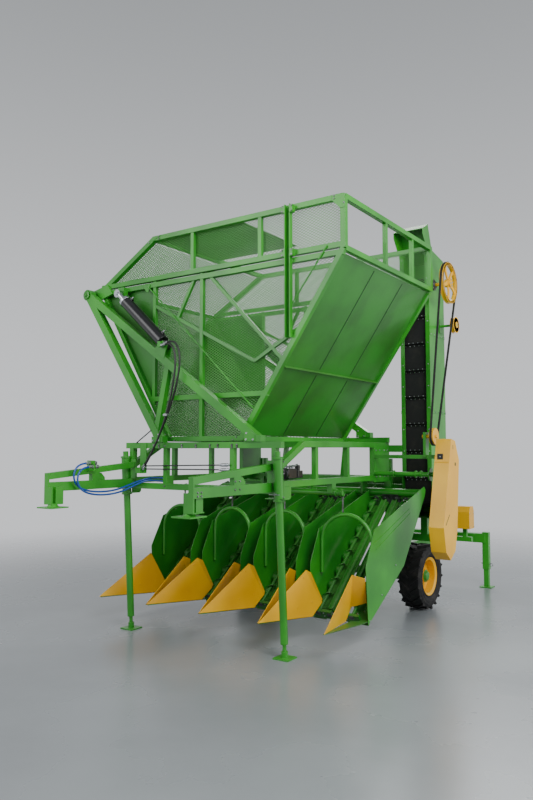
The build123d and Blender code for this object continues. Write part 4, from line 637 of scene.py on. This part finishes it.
class HARVESTER_OT_hoses(bpy.types.Operator):
    """Hang the two black hoses of the tipping cylinder and the two blue supply hoses"""
    bl_idname = "harvester.hoses"
    bl_label = "Hoses"

    def execute(self, context):
        make_finishes(context.scene.harvester_look)
        for name, (finish, across, length, route) in HOSES.items():
            line = bpy.data.curves.new(f"{name}_line", "CURVE")
            line.dimensions = "3D"
            line.resolution_u = 8
            line.bevel_depth = across / 2000
            line.bevel_resolution = 5
            line.use_fill_caps = True
            path = line.splines.new("NURBS")
            path.points.add(len(route) - 1)
            for point, place in zip(path.points, route):
                point.co = (*at(*place), 1.0)
            path.order_u = 3
            path.use_endpoint_u = True
            hose = bpy.data.objects.new(f"{name}_line", line)
            context.scene.collection.objects.link(hose)
            dress(hose, finish, "frame")
            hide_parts(name)
        return {"FINISHED"}


class HARVESTER_OT_hose_fittings(bpy.types.Operator):
    """Crimp a ferrule and a nut on each hose end, clamp the black pair and couple the blue pair"""
    bl_idname = "harvester.hose_fittings"
    bl_label = "Hose fittings"

    def execute(self, context):
        ends = []
        for finish, across, length, route in HOSES.values():
            for first, second in ((route[0], route[1]), (route[-1], route[-2])):
                ends.append(aim(at(*first), at(*second) - at(*first)))
        crimps = ((11, -3), (14, 0), (14, 8), (12.5, 9), (12.5, 11), (14, 12), (14, 20), (12.5, 21),
                  (12.5, 23), (14, 24), (14, 31), (11, 34))
        fitted("hose_ferrules", crimps, 20, ends, "bright", "frame")
        nut = start(bpy.ops.mesh.primitive_cylinder_add, "nut", vertices=6, radius=0.0195, depth=0.018,
                    location=(0, 0, -0.012))
        settle(nut)
        applied(nut, "BEVEL", width=0.0012, segments=1)
        gather("hose_nuts", many(nut, ends), "bright", "frame")
        steps = ((13, 0), (16, 2), (16, 10), (20, 12), (20, 30), (17, 32), (17, 44), (14, 47))
        places = [aim(at(x, COUPLING_Y, z), BACK) for x, z in ((-800, 1737), (-770, 1703))]
        fitted("quick_couplings", steps, 24, places, "bright", "frame")
        gather("hose_clamp", [block("clamp", at(-328, -119, 2212), (50, 62, 26), 6)], "bright", "frame")
        return {"FINISHED"}


class HARVESTER_OT_stage(bpy.types.Operator):
    """Lay the floor, hang the soft lights and set the pale studio sweep"""
    bl_idname = "harvester.stage"
    bl_label = "Stage"

    def execute(self, context):
        look = context.scene.harvester_look
        floor = start(bpy.ops.mesh.primitive_plane_add, "floor", size=FLOOR_SIZE)
        floor.data.materials.append(FINISH["floor"])
        world = bpy.data.worlds.new("studio")
        context.scene.world = world
        world.use_nodes = True
        tree = world.node_tree
        way = add(tree, "ShaderNodeTexCoord").outputs["Generated"]
        height = add(tree, "ShaderNodeSeparateXYZ", {"Vector": way}).outputs["Z"]
        sweep = tint(tree, ramp(tree, height, 0.0, SWEEP_TOP), linear(look.sweep), linear(look.sweep_top))
        backdrop = tree.nodes["Background"]
        tree.links.new(sweep, backdrop.inputs[0])
        backdrop.inputs[1].default_value = 1.0
        for name, (place, size, power) in LIGHTS.items():
            light = bpy.data.lights.new(name, "AREA")
            light.size = size
            light.energy = power
            lamp = bpy.data.objects.new(name, light)
            context.scene.collection.objects.link(lamp)
            lamp.location = place
            lamp.rotation_euler = (LIGHTS_AIM - Vector(place)).to_track_quat("-Z", "Y").to_euler()
        return {"FINISHED"}


class HARVESTER_OT_paint(bpy.types.Operator):
    """Give every solid of the frame its finish"""
    bl_idname = "harvester.paint"
    bl_label = "Paint"

    def execute(self, context):
        for name, node in NODES.items():
            turning = name.startswith(("roll_", "side_auger_"))
            # Turning parts, row floors and troughs take the darker green, painted shade where little light
            # reaches
            finish = "deep" if turning else NODE_FINISH.get(name, "green")
            node.data.materials.clear()
            node.data.materials.append(FINISH[finish])
        return {"FINISHED"}


class HARVESTER_OT_expanded_metal(bpy.types.Operator):
    """Fill the basket's open bays with expanded metal"""
    bl_idname = "harvester.expanded_metal"
    bl_label = "Expanded metal"

    def execute(self, context):
        sizes = context.scene.harvester_mesh
        cell = (sizes.cell_wide, sizes.cell_high, sizes.strand)
        lower = [(-722, 3612), (-722, 2340), (-510, 1990), (440, 1990), (1520, 3612)]
        upper = [(-1470, 3705), (-750, 4118), (1545, 4118), (1545, 3705)]
        inner = BASKET_HALF_BAR + MESH_THICK / 2
        panels = []
        for y, side in ((BASKET_Y[0] + inner, "front"), (BASKET_Y[1] - inner, "rear")):
            for outline, part in ((lower, "lower"), (upper, "upper")):
                place = axes(at(0, y, 0), RIGHT, UP)
                panels.append(expanded(f"mesh_{side}_{part}", outline, cell, place))
        rise = Vector((BASKET_TOP_LEFT[0] - BASKET_LEFT[0], 0, BASKET_TOP_LEFT[1] - BASKET_LEFT[1]))
        low, high = BASKET_Y[0] + BASKET_HALF_BAR, BASKET_Y[1] - BASKET_HALF_BAR
        ends = (SLOPE_INSET, rise.length - SLOPE_INSET)
        bay = [(low, ends[0]), (high, ends[0]), (high, ends[1]), (low, ends[1])]
        place = axes(at(BASKET_LEFT[0], 0, BASKET_LEFT[1]), BACK, rise)
        panels.append(expanded("mesh_left_slope", bay, cell, place))
        for panel in panels:
            dress(panel, "net", "basket")
        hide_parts("basket_mesh")
        return {"FINISHED"}


class HARVESTER_OT_basket_sheets(bpy.types.Operator):
    """Lay dark strips as painted shadow in the seams and rivet the cross rib on the basket's two slanting
    walls
    """
    bl_idname = "harvester.basket_sheets"
    bl_label = "Basket sheets"

    def execute(self, context):
        seams, ribs, rivets = [], [], []
        low_y, high_y = BASKET_Y[0] + BASKET_HALF_BAR, BASKET_Y[1] - BASKET_HALF_BAR
        middle_y = (low_y + high_y) / 2
        length = high_y - low_y - 4
        seams_y = (middle_y - 325, middle_y + 335)
        # Shares of the wall's slope: each seam below and above the rib, and the rows of rivets
        seam_ends = ((0.03, RIB_SHARE - 0.012), (RIB_SHARE + 0.022, 0.965))
        rivet_rows = (0.08, 0.2, 0.31, 0.47, 0.58, 0.69, 0.8, 0.91)
        columns = (low_y + 18, *(y + dy for y in seams_y for dy in (-20, 20)), high_y - 18)
        for low, high, side in ((BASKET_LOW_RIGHT, BASKET_RIGHT, 1), (BASKET_LOW_LEFT, BASKET_LEFT, -1)):
            run = Vector((high[0] - low[0], 0, high[1] - low[1]))
            out = Vector((side * abs(run.z), 0, -abs(run.x))).normalized()
            turn = axes(Vector(), BACK, run)
            for y in seams_y:
                for a, b in seam_ends:
                    middle = at(low[0], y, low[1]) + (run * (a + b) / 2 + out * 3) / 1000
                    seams.append(block("seam", middle, (11, run.length * (b - a), 3), 0.8, turn))
            spot = at(low[0], middle_y, low[1]) + run * RIB_SHARE / 1000
            ribs.append(block("rib_foot", spot + out * 0.0045, (length, 42, 5), 1, turn))
            edge = spot + (out * 22 + run.normalized() * 19) / 1000
            ribs.append(block("rib_edge", edge, (length, 5, 40), 1, turn))
            for i in range(9):
                y = at(0, low_y + 60 + i * (length - 120) / 8, 0).y
                place = Vector((spot.x, y, spot.z)) + (out * 7 - run.normalized() * 6) / 1000
                rivets.append((place, out))
            for y in columns:
                for share in rivet_rows:
                    place = at(low[0], y, low[1]) + (run * share + out * 2) / 1000
                    rivets.append((place, out))
        # Dark strips, painted shadow in the seams' recesses
        gather("wall_seam_painted_shadows", seams, "painted_shadow", "basket")
        # The ribs and rivets take the sheets' green, darkened as painted shade
        gather("wall_ribs", ribs, "wall", "basket")
        fasten("wall_rivets", rivets, 8, "wall", "basket")
        return {"FINISHED"}


class HARVESTER_OT_basket_ties(bpy.types.Operator):
    """Stretch the tie rod and the guide's stay across the basket's front, and plate its corners"""
    bl_idname = "harvester.basket_ties"
    bl_label = "Basket ties"

    def execute(self, context):
        face = BASKET_Y[0] - BASKET_HALF_BAR - 7
        left, right = at(-832, face, 3640), at(588, face, 2262)
        parts = [rod("tie", left, right, 6), rod("stay", at(1032, face, 3219), at(1405, face, 3700), 7)]
        profile = ((8, -52), (13, -48), (13, -30), (10, -26), (10, 26), (13, 30), (13, 48), (8, 52))
        turnbuckle = turned("turnbuckle", profile, 6)
        turnbuckle.matrix_world = aim(left + (right - left) * 0.43, (right - left).normalized())
        upright = axes(at(-832, face + 4, 3600), RIGHT, UP)
        tie_plate = plate("tie_plate", [(-50, 35), (60, 35), (30, -45), (5, -45)], 6, upright)
        gather("basket_tie_rods", [*parts, turnbuckle, tie_plate], "green", "basket")

        corners, spots = [], []
        outlines = (
            (BASKET_LOW_RIGHT, [(-120, -22), (30, -22), (95, 62), (-60, 22), (-120, 22)]),
            (BASKET_LOW_LEFT, [(120, -22), (-30, -22), (-75, 62), (60, 22), (120, 22)]),
            (BASKET_TOP_RIGHT, [(22, -110), (22, 22), (-110, 22), (-110, -22), (-22, -110)]),
            (BASKET_TOP_LEFT, [(-80, -62), (-12, 22), (110, 22), (110, -22), (10, -22)]),
        )
        for y, out in ((BASKET_Y[0] - BASKET_HALF_BAR, -1), (BASKET_Y[1] + BASKET_HALF_BAR, 1)):
            for (x, z), outline in outlines:
                place = axes(at(x, y + (0 if out < 0 else 4), z), RIGHT, UP)
                corners.append(plate("corner", outline, 4, place))
                spots += heads((0, out, 0), *((x + dx * 0.75, y + out * 4, z + dz * 0.6)
                                              for dx, dz in (outline[0], outline[2], outline[3])))
        gather("basket_corner_plates", corners, "green", "basket")
        fasten("basket_corner_bolts", spots, 12, "worn", "basket")
        clips = [(x, BASKET_Y[0] - 76, z) for x in (948, 1052) for z in (4128, 4082, 3713, 3667)]
        fasten("guide_bolts", heads(FRONT, *clips), 13, "worn", "basket")
        return {"FINISHED"}


class HARVESTER_OT_tipping(bpy.types.Operator):
    """Cap the tipping cylinders, and put washers and nuts on their pins and on the basket's hinge"""
    bl_idname = "harvester.tipping"
    bl_label = "Tipping gear"

    def execute(self, context):
        base_x, base_z = CYLINDER_BASE
        run = Vector((CYLINDER_EYE[0] - base_x, 0, CYLINDER_EYE[1] - base_z)).normalized()
        lift = Vector((-run.z, 0, run.x))
        glands, caps, ports, unions, washers, nuts = [], [], [], [], [], []
        # Distances from the base pin along the barrel, and of each port from its axis, in metres
        gland_at, cap_at, ports_at = 0.78, 0.06, (0.125, 0.735)
        port_out, union_start, union_end = 0.068, 0.076, 0.102
        for y, out in ((0, -1), (REAR_STAND_Y, 1)):
            base = at(base_x, y, base_z)
            glands.append(aim(base + run * gland_at, run))
            caps.append(aim(base + run * cap_at, run))
            side = axes(Vector(), run, (0, out, 0))
            for distance in ports_at:
                port = base + run * distance
                ports.append(block("port", port - lift * port_out, (38, 30, 22), 3, side))
                unions.append(rod("union", port - lift * union_start, port - lift * union_end, 9, 10))
            washers.append((at(TIP[0], y + out * HINGE_END, TIP[1]), (0, out, 0), 46, 6))
            nuts += heads((0, out, 0), (TIP[0], y + out * (HINGE_END + 5), TIP[1]))
            for way in (-1, 1):
                washers.append((at(base_x, y + way * PIN_END, base_z), (0, way, 0), 32, 5))
        profile = ((36, 0), (66, 0), (69, 3), (69, 14), (66.5, 15), (66.5, 19), (69, 20), (69, 28), (60, 33),
                   (46, 33), (44, 37), (36, 37))
        fitted("cylinder_glands", profile, 40, glands, "chrome", "tipping_barrels", ring=True)
        profile = ((40, 0), (66, 4), (68, 8), (68, 22), (60, 26), (40, 26))
        fitted("cylinder_caps", profile, 40, caps, "black", "tipping_barrels", ring=True)
        gather("cylinder_ports", ports, "black", "tipping_barrels")
        gather("cylinder_unions", unions, "bright", "tipping_barrels")
        discs = []
        for place, way, radius, thick in washers:
            profile = ((radius - 2, 0), (radius, 1), (radius, thick - 1), (radius - 2, thick))
            discs += many(turned("washer", profile, 28), [aim(place, way)])
        gather("pin_washers", discs, "green", "frame")
        fasten("hinge_nuts", nuts, 36, "green", "frame")
        return {"FINISHED"}


class HARVESTER_OT_stand_feet(bpy.types.Operator):
    """Bolt the feet of the basket stands between their bracket plates"""
    bl_idname = "harvester.stand_feet"
    bl_label = "Stand feet"

    def execute(self, context):
        plates, spots = [], []
        for y, foot_z in ((0, 1940), (REAR_STAND_Y, 2010)):
            for x, way in ((640, 1), (-540, -1)):
                outline = [(-62, 2), (62, 2), (62, 66), (-way * 10, 112), (-way * 62, 112)][::way]
                for side in (-1, 1):
                    place = axes(at(x, y + side * 40 + (5 if side > 0 else 0), foot_z), RIGHT, UP)
                    plates.append(plate("bracket", outline, 5, place))
                    for dx, dz in ((-40, 20), (40, 20), (-way * 35, 80)):
                        spots.append((at(x + dx, y + side * 45, foot_z + dz), (0, side, 0)))
        gather("stand_brackets", plates, "green", "frame")
        fasten("stand_bracket_bolts", spots, 15, "bright", "frame")
        return {"FINISHED"}


class HARVESTER_OT_front_frame(bpy.types.Operator):
    """Run the steel lines across the front frame and fit its clips, plates, motor and lock bolts"""
    bl_idname = "harvester.front_frame"
    bl_label = "Front frame fittings"

    def execute(self, context):
        runs = ((-678, 1700, 396, 1722), (-690, 1668, 396, 1676), (-821, 1938, -609, 2069))
        lines = [rod("line", at(x, LINE_Y, z), at(to_x, LINE_Y, to_z), 6) for x, z, to_x, to_z in runs]
        gather("steel_lines", lines, "black", "frame")
        profile = ((9, -62), (12, -58), (12, -40), (16, -36), (16, 36), (12, 40), (12, 58), (9, 62))
        places = [aim(at(345, LINE_Y, z), (1, 0, 0.02)) for z in (1721, 1675)]
        fitted("line_unions", profile, 16, places, "bright", "frame")

        clips, spots = [], []
        for x in (-579, -509, -199, -17, 159, 258, 427, 486):
            clips.append(block("clip", at(x, -33, 1900), (16, 6, 44), 2))
            spots += heads(FRONT, (x, -36, 1913))
        gather("rail_clips", clips, "worn", "frame")
        for side in (-1, 1):
            arm_face = side * (ARM_X + ARM_HALF)
            for rows, heights in (((-1040, -1085), (1500, 1530)), ((-598, -532), (1530, 1600))):
                spots += heads((side, 0, 0), *((arm_face, y, z) for y in rows for z in heights))
            spots += heads(FRONT, *((side * ARM_X + dx, -38, z) for z in (1545, 1690) for dx in (-22, 22)))
            spots += heads((side, 0, 0), *((side * (LEG_X + 46), -30, z) for z in (1440, 1760)))
        spots += heads(FRONT, *((x, -30, z) for x in (-430, 420) for z in (1500, 1905)))
        fasten("front_frame_bolts", spots, 14, "worn", "frame")

        ears = []
        for side in (-1, 1):
            place = axes(at(side * 955, 0, 0), BACK, UP)
            outline = [(34, 1410), (150, 1410), (168, 1430), (168, 1528), (34, 1528)]
            ears.append(plate("ear", outline, 8, place))
            ears.append(block("flange", at(side * 938, -31, 1424), (216, 66, 9), 2))
        gather("leg_flanges", ears, "green", "frame")

        motor = [block("motor", at(x, y, z), size, edge) for (x, y, z), size, edge in (
            ((838, 330, 1640), (84, 150, 96), 8), ((866, 330, 1572), (48, 190, 12), 3),
            ((842, 470, 1630), (70, 90, 70), 5), ((842, 470, 1690), (40, 40, 56), 5),
        )]
        profile = ((20, 0), (52, 0), (56, 4), (56, 40), (48, 46), (30, 50), (24, 70), (12, 72))
        motor += many(turned("motor_end", profile, 28), [aim(at(838, 256, 1640), FRONT)])
        gather("drive_motor", motor, "black", "frame")
        pipes = [rod("pipe", at(*a), at(*b), radius) for a, b, radius in (
            ((820, 300, 1700), (820, 430, 1712), 9), ((852, 350, 1698), (842, 470, 1722), 9),
            ((838, 250, 1690), (838, 250, 1722), 8), ((812, 380, 1685), (812, 380, 1718), 8),
        )]
        gather("motor_pipes", pipes, "bright", "frame")

        handles = []
        for x in (-LEG_X, LEG_X):
            handles.append(rod("screw", at(x, -52, 1470), at(x, -110, 1466), 8))
            handles.append(rod("handle", at(x - 55, -110, 1466), at(x + 55, -110, 1466), 5))
        gather("leg_lock_screws", handles, "bright", "frame")
        return {"FINISHED"}


class HARVESTER_OT_lift_chains(bpy.types.Operator):
    """Clamp the lift chains to their pipe with bands and shackles"""
    bl_idname = "harvester.lift_chains"
    bl_label = "Lift chains"

    def execute(self, context):
        bands = [aim(at(x, ARCH_Y, LIFT_UNDER + 30), RIGHT) for x in ROWS_X]
        fitted("lift_bands", ((31, -9), (36, -9), (36, 9), (31, 9)), 28, bands, "green", "frame", ring=True)
        shackles = [aim(at(x, ARCH_Y, LIFT_UNDER - 8), UP) for x in ROWS_X]
        profile = ((9, -14), (12, -12), (12, -4), (16, 0), (12, 2), (9, 3))
        fitted("chain_shackles", profile, 12, shackles, "worn", "frame", ring=True)
        return {"FINISHED"}


class HARVESTER_OT_row_bearings(bpy.types.Operator):
    """Fit the bearing housings of the stripping rolls and side augers, and the gearbox covers"""
    bl_idname = "harvester.row_bearings"
    bl_label = "Row bearings"

    def execute(self, context):
        rolls, augers, noses, spots, covers = [], [], [], [], []
        for x in ROWS_X:
            for side in (-1, 1):
                roll, auger = x + side * ROLL_OFFSET, x + side * AUGER_OFFSET
                rolls.append(aim(on_row(roll, ROLL_LENGTH + 9.5), -UP_ROW))
                augers.append(aim(on_row(auger, ROLL_LENGTH - 0.5, AUGER_LIFT), -UP_ROW))
                noses.append(aim(on_row(roll, NOSE_END), -UP_ROW))
                noses.append(aim(on_row(auger, NOSE_END, AUGER_LIFT), -UP_ROW))
                for lift in (-1, 1):
                    spots.append((on_row(roll, ROLL_LENGTH - 1, lift * 31), -UP_ROW))
                    spots.append((on_row(auger, ROLL_LENGTH - 11, AUGER_LIFT + lift * 28), -UP_ROW))
                    spots.append((on_row((roll + auger) / 2, -55, lift * 22), -UP_ROW))
        profile = ((21, 0), (43, 0), (44, 2), (44, 9), (34, 12), (30, 17), (21, 18))
        fitted("roll_bearings", profile, 28, rolls, "iron", "header", ring=True)
        profile = ((22, 0), (38, 0), (39, 2), (39, 9), (31, 12), (28, 15), (22, 16))
        fitted("auger_bearings", profile, 28, augers, "iron", "header", ring=True)
        fitted("nose_caps", ((27, 0), (28, 2), (28, 5), (22, 9), (10, 11)), 24, noses, "iron", "header")

        top = axes(Vector(), RIGHT, UP_ROW)
        back = axes(Vector(), RIGHT, OFF_ROW)
        for x in ROWS_X:
            covers.append(block("cover", on_row(x, ROLL_LENGTH + 60, 73), (176, 82, 7), 3, top))
            covers.append(block("cover", on_row(x, ROLL_LENGTH + 113, -8), (180, 96, 7), 3, back))
            for dx in (-76, 0, 76):
                for d in (-30, 30):
                    spots.append((on_row(x + dx, ROLL_LENGTH + 60 + d, 76), OFF_ROW))
                    spots.append((on_row(x + dx, ROLL_LENGTH + 116, d - 8), UP_ROW))
        gather("gearbox_covers", covers, "iron", "header")
        fasten("bearing_bolts", spots, 11, "bright", "header")
        return {"FINISHED"}


class HARVESTER_OT_dividers(bpy.types.Operator):
    """Press the swage lines in the outer sheets and bolt down the crop points and their skids"""
    bl_idname = "harvester.dividers"
    bl_label = "Dividers"

    def execute(self, context):
        beads, spots, rivets = [], [], []
        for side in (-1, 1):
            x = side * (OUTER_SHEET_X + 2)
            for (y0, z0), (y1, z1) in (((1029, 889), (1867, 1179)), ((979, 945), (1853, 1229))):
                beads.append(rod("bead", at(x, y0, z0), at(x, y1, z1), 4, 10))
            places = ((880, 230), (1150, 430), (1480, 680), (1700, 1330), (2080, 1380))
            spots += heads((side, 0, 0), *((x, *place) for place in places))
        gather("sheet_swages", beads, "green", "header")
        for x in DIVIDERS_X:
            for side in (-1, 1):
                if abs(x + side * 60) >= OUTER_SHEET_X - 5:
                    continue
                for y, across in ((620, 92), (700, 108), (775, 118)):
                    skid_z = SKID_Z if y > SKID_BEND_Y else 284 - 54 * (y - 20) / 740
                    spots += heads((0, 0, -1), (x + side * across, y, skid_z - 6.5))
                spots += heads((side, 0, 0), *((x + side * 87, y, 300) for y in (800, 940)))
        fasten("divider_bolts", spots, 13, "bright", "header")
        for x in DIVIDERS_X:
            for side in (-1, 1):
                if abs(x) > OUTER_SHEET_X and side * x > 0:
                    continue
                tip, knuckle = Vector((x + side * 3, 8, 285)), Vector((x + side * 185, 850, 345))
                top = Vector((x + side * 95, 700, 680))
                out = (knuckle - tip).cross(top - tip).normalized()
                if out.dot(Vector((side, -1, 1))) < 0:
                    out = -out
                # Each rivet's way along the point, and from its lower edge to its crown
                for along, up in ((0.86, 0.12), (0.9, 0.9), (0.62, 0.12)):
                    edge = tip + (knuckle - tip) * along
                    crown = tip + (top - tip) * along
                    rivets.append((at(*(edge + (crown - edge) * up + out * 2.5)), out))
        fasten("point_rivets", rivets, 10, "yellow", "header")
        return {"FINISHED"}


class HARVESTER_OT_elevator(bpy.types.Operator):
    """Bolt the slats to the conveyor, and fit the elevator's bearings, seams and flange bolts"""
    bl_idname = "harvester.elevator"
    bl_label = "Elevator"

    def execute(self, context):
        slats, spots, seams = [], [], []
        top_slat, slat_face, belt_face = DRUM[1] - 373, DRUM[0] - 129, DRUM[0] - 93
        first_x, bolt_pitch, bolts_across = 1152, 55, 6
        for i in range(SLATS):
            z = top_slat - i * SLAT_PITCH
            for x in range(first_x, first_x + bolts_across * bolt_pitch, bolt_pitch):
                slats += heads(FRONT, (x, slat_face, z), (x, belt_face, z - 30))
        fasten("slat_bolts", slats, 9, "bright", "frame")
        left, right, front, rear = ELEVATOR_WALLS
        lips = (left + 25, right - 25)
        spots += heads(FRONT, *((x, front, 1600 + i * 250) for x in lips for i in range(11)))
        for z in (2300, 3200):
            seams += [block("seam", at(x, 2567, z), (4, 465, 34), 1.2) for x in (left - 2, right + 2)]
            seams.append(block("seam", at((left + right) / 2, rear + 2, z), (right - left, 4, 34), 1.2))
            for y in (2360, 2460, 2567, 2674, 2774):
                spots += heads(LEFT, (left - 5, y, z)) + heads(RIGHT, (right + 5, y, z))
            spots += heads(BACK, *((x, rear + 5, z) for x in (1150, 1243, 1337, 1430)))
        gather("elevator_seams", seams, "green", "frame")
        profile = ((26, 0), (62, 0), (64, 3), (64, 12), (48, 16), (40, 30), (26, 32))
        places = []
        for x, way in ((right + 0.5, 1), (left - 0.5, -1)):
            places.append(aim(at(x, *DRUM), (way, 0, 0)))
            spots += [(place, (way, 0, 0)) for place in circle(x + way * 12, *DRUM, 54, 4, 45)]
        fitted("elevator_bearings", profile, 32, places, "iron", "frame", ring=True)
        fasten("elevator_bolts", spots, 12, "bright", "frame")
        return {"FINISHED"}


class HARVESTER_OT_drive(bpy.types.Operator):
    """Fit the idler's flanges, the pulley hubs, the guard's plates and bolts, and dark blocks painted as
    shadow in its slots
    """
    bl_idname = "harvester.drive"
    bl_label = "Drive"

    def execute(self, context):
        low, high = (Vector(corner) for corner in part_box("idler"))
        centre = (low + high) / 2
        places = [aim(centre + Vector((x, 0, 0)), RIGHT) for x in (-0.021, 0.021)]
        profile = ((16.5, -2), (95, -2), (97, 0), (95, 2), (16.5, 2))
        fitted("idler_flanges", profile, 48, places, "yellow", "idler", ring=True)
        profile = ((16.5, 22), (34, 22), (36, 24), (36, 30), (16.5, 31))
        fitted("idler_hub", profile, 28, [aim(centre, RIGHT)], "yellow", "idler", ring=True)
        profile = ((208, -23), (238, -23), (240, -20), (236, -13), (236, 13), (240, 20), (238, 23), (208, 23),
                   (205, 18), (205, -18))
        pulley = [aim(at(PULLEY_X, *DRUM), RIGHT)]
        fitted("pulley_rim", profile, 64, pulley, "yellow", "elevator_drive", ring=True)
        spots = [(place, RIGHT) for place in circle(PULLEY_X + 35, *DRUM, 33, 4, 20)]
        spots += heads(RIGHT, (PULLEY_X + 40, *DRUM))
        fasten("pulley_bolts", spots, 14, "bright", "elevator_drive")

        # The slots are dark blocks, painted shadow where the guard is open; their outer faces stand 0.3 mm
        # proud of the guard
        slot_shadow_x = GUARD_FACE_X - 0.9
        slant = Matrix.Rotation(math.atan2(99, 109), 4, "X")
        slots = [
            block("slot", at(slot_shadow_x, 1839, 1894), (2.4, 14, 44), 0.6),
            block("slot", at(slot_shadow_x, 1900, 1715), (2.4, 34, 34), 0.6),
            block("slot", at(slot_shadow_x, 1655, 1153), (2.4, 147, 13), 0.6, slant),
        ]
        gather("guard_slot_painted_shadows", slots, "painted_shadow", "frame")
        gather("guard_washer", [block("washer", at(1800, 1733, 1795), (62, 7, 62), 2)], "black", "frame")
        gather("guard_lip", [block("lip", at(1820, 1722, 1738), (158, 6, 14), 2)], "yellow", "frame")
        spots = heads(FRONT, (1800, 1729, 1795))
        spots += heads(RIGHT, *((1380, REAR_GUARD_Y + dy, z) for dy in (-80, 80) for z in (850, 1030)))
        fasten("guard_bolts", spots, 12, "bright", "frame")

        collars = [aim(at(x, *LOW_SHAFT), RIGHT) for x in (1180, 1440, 1500)]
        profile = ((26, -8), (38, -8), (40, -6), (40, 6), (38, 8), (26, 8))
        fitted("shaft_collars", profile, 28, collars, "green", "frame", ring=True)
        spots = [(place, LEFT) for place in circle(1600, *LOW_SHAFT, 54, 6, 0)]
        fasten("shaft_flange_bolts", spots, 12, "bright", "frame")
        return {"FINISHED"}


class HARVESTER_OT_wheels(bpy.types.Operator):
    """Fit the hub caps, wheel nuts, valves and the tyres' sidewall ribs"""
    bl_idname = "harvester.wheels"
    bl_label = "Wheels"

    def execute(self, context):
        x, y, z = WHEEL
        for side, name in ((-1, "left"), (1, "right")):
            body = f"wheel_{name}"
            profile = ((70, 0), (72, 2), (72, 7), (58, 9), (56, 22), (50, 30), (30, 34), (10, 35))
            place = aim(at(side * (x + HUB_END), y, z), (side, 0, 0))
            fitted(f"hub_cap_{name}", profile, 36, [place], "green", body)
            ring = circle(side * (x + DISC_FACE), y, z, NUT_CIRCLE, 6, 15)
            spots = [(place, (side, 0, 0)) for place in ring]
            fasten(f"wheel_nuts_{name}", spots, 24, "bright", body)
            valve = rod("valve", at(side * x, y + 176, z), at(side * (x + 42), y + 184, z), 4, 10)
            gather(f"valve_{name}", [valve], "bright", body)
            ribs = []
            for face in (-1, 1):
                for radius, height in ((240, 119), (268, 130), (300, 135.6)):
                    profile = ((radius - 4, -3), (radius - 1.5, 2), (radius + 1.5, 2), (radius + 4, -3))
                    place = aim(at(side * x + face * height, y, z), (face, 0, 0))
                    ribs += many(turned("rib", profile, 56, ring=True), [place])
            gather(f"sidewall_ribs_{name}", ribs, "tyre", body)
        return {"FINISHED"}


class HARVESTER_OT_rear(bpy.types.Operator):
    """Pin the rear legs, bolt the rear frame and put the rolled edge on the trough"""
    bl_idname = "harvester.rear"
    bl_label = "Rear fittings"

    def execute(self, context):
        pins, spots = [], []
        leg_x, leg_y = REAR_LEG
        for side in (-1, 1):
            x = side * leg_x
            pins.append(rod("pin", at(x - 70, leg_y, 320), at(x + 62, leg_y, 320), 9))
            grip = turned("grip", ((16, -3), (22, -3), (22, 3), (16, 3)), 20, ring=True)
            pins += many(grip, [aim(at(x + side * 66, leg_y, 304), BACK)])
            places = [(x + side * 42, leg_y, z) for z in (560, 700)]
            places += [(side * 950, y, z) for y in (1980, 2070, 2190, 2280) for z in (1560, 1860)]
            places += [(side * 940, y, 500) for y in (2650, 2730)]
            spots += heads((side, 0, 0), *places)
        edges = [block("stay", at(x, 2924, 1430), (40, 5, 190), 1.5) for x in (-600, -200, 200, 600)]
        edges.append(rod("rim", at(-1378, 2923, 1532), at(1106, 2923, 1532), 9, 12))
        edges.append(rod("rim", at(-1378, 2517, 1452), at(1106, 2517, 1452), 8, 12))
        gather("rear_leg_pins", pins, "bright", "frame")
        fasten("rear_bolts", spots, 15, "bright", "frame")
        gather("trough_edges", edges, "green", "frame")
        return {"FINISHED"}


STEPS = (
    HARVESTER_OT_camera, HARVESTER_OT_hoses, HARVESTER_OT_hose_fittings, HARVESTER_OT_stage,
    HARVESTER_OT_paint, HARVESTER_OT_expanded_metal, HARVESTER_OT_basket_sheets, HARVESTER_OT_basket_ties,
    HARVESTER_OT_tipping,
    HARVESTER_OT_stand_feet, HARVESTER_OT_front_frame, HARVESTER_OT_lift_chains, HARVESTER_OT_row_bearings,
    HARVESTER_OT_dividers, HARVESTER_OT_elevator, HARVESTER_OT_drive, HARVESTER_OT_wheels, HARVESTER_OT_rear,
)
GROUPS = {"harvester_look": HarvesterLook, "harvester_mesh": HarvesterMesh}


class HARVESTER_PT_panel(bpy.types.Panel):
    """All steps of the harvester's finish"""
    bl_label = "Harvester"
    bl_idname = "HARVESTER_PT_panel"
    bl_space_type = "VIEW_3D"
    bl_region_type = "UI"
    bl_category = "Harvester"

    def draw(self, context):
        for group in GROUPS:
            held = getattr(context.scene, group)
            for name in held.__annotations__:
                self.layout.prop(held, name)
        for step in STEPS:
            self.layout.operator(step.bl_idname)


def register():
    for kind in (*GROUPS.values(), *STEPS, HARVESTER_PT_panel):
        bpy.utils.register_class(kind)
    for name, kind in GROUPS.items():
        setattr(bpy.types.Scene, name, bpy.props.PointerProperty(type=kind))


def unregister():
    for name in GROUPS:
        delattr(bpy.types.Scene, name)
    for kind in reversed((*GROUPS.values(), *STEPS, HARVESTER_PT_panel)):
        bpy.utils.unregister_class(kind)


def main():
    register()
    for step in STEPS:
        area, name = step.bl_idname.split(".")
        getattr(getattr(bpy.ops, area), name)()


if __name__ == "__main__":
    main()
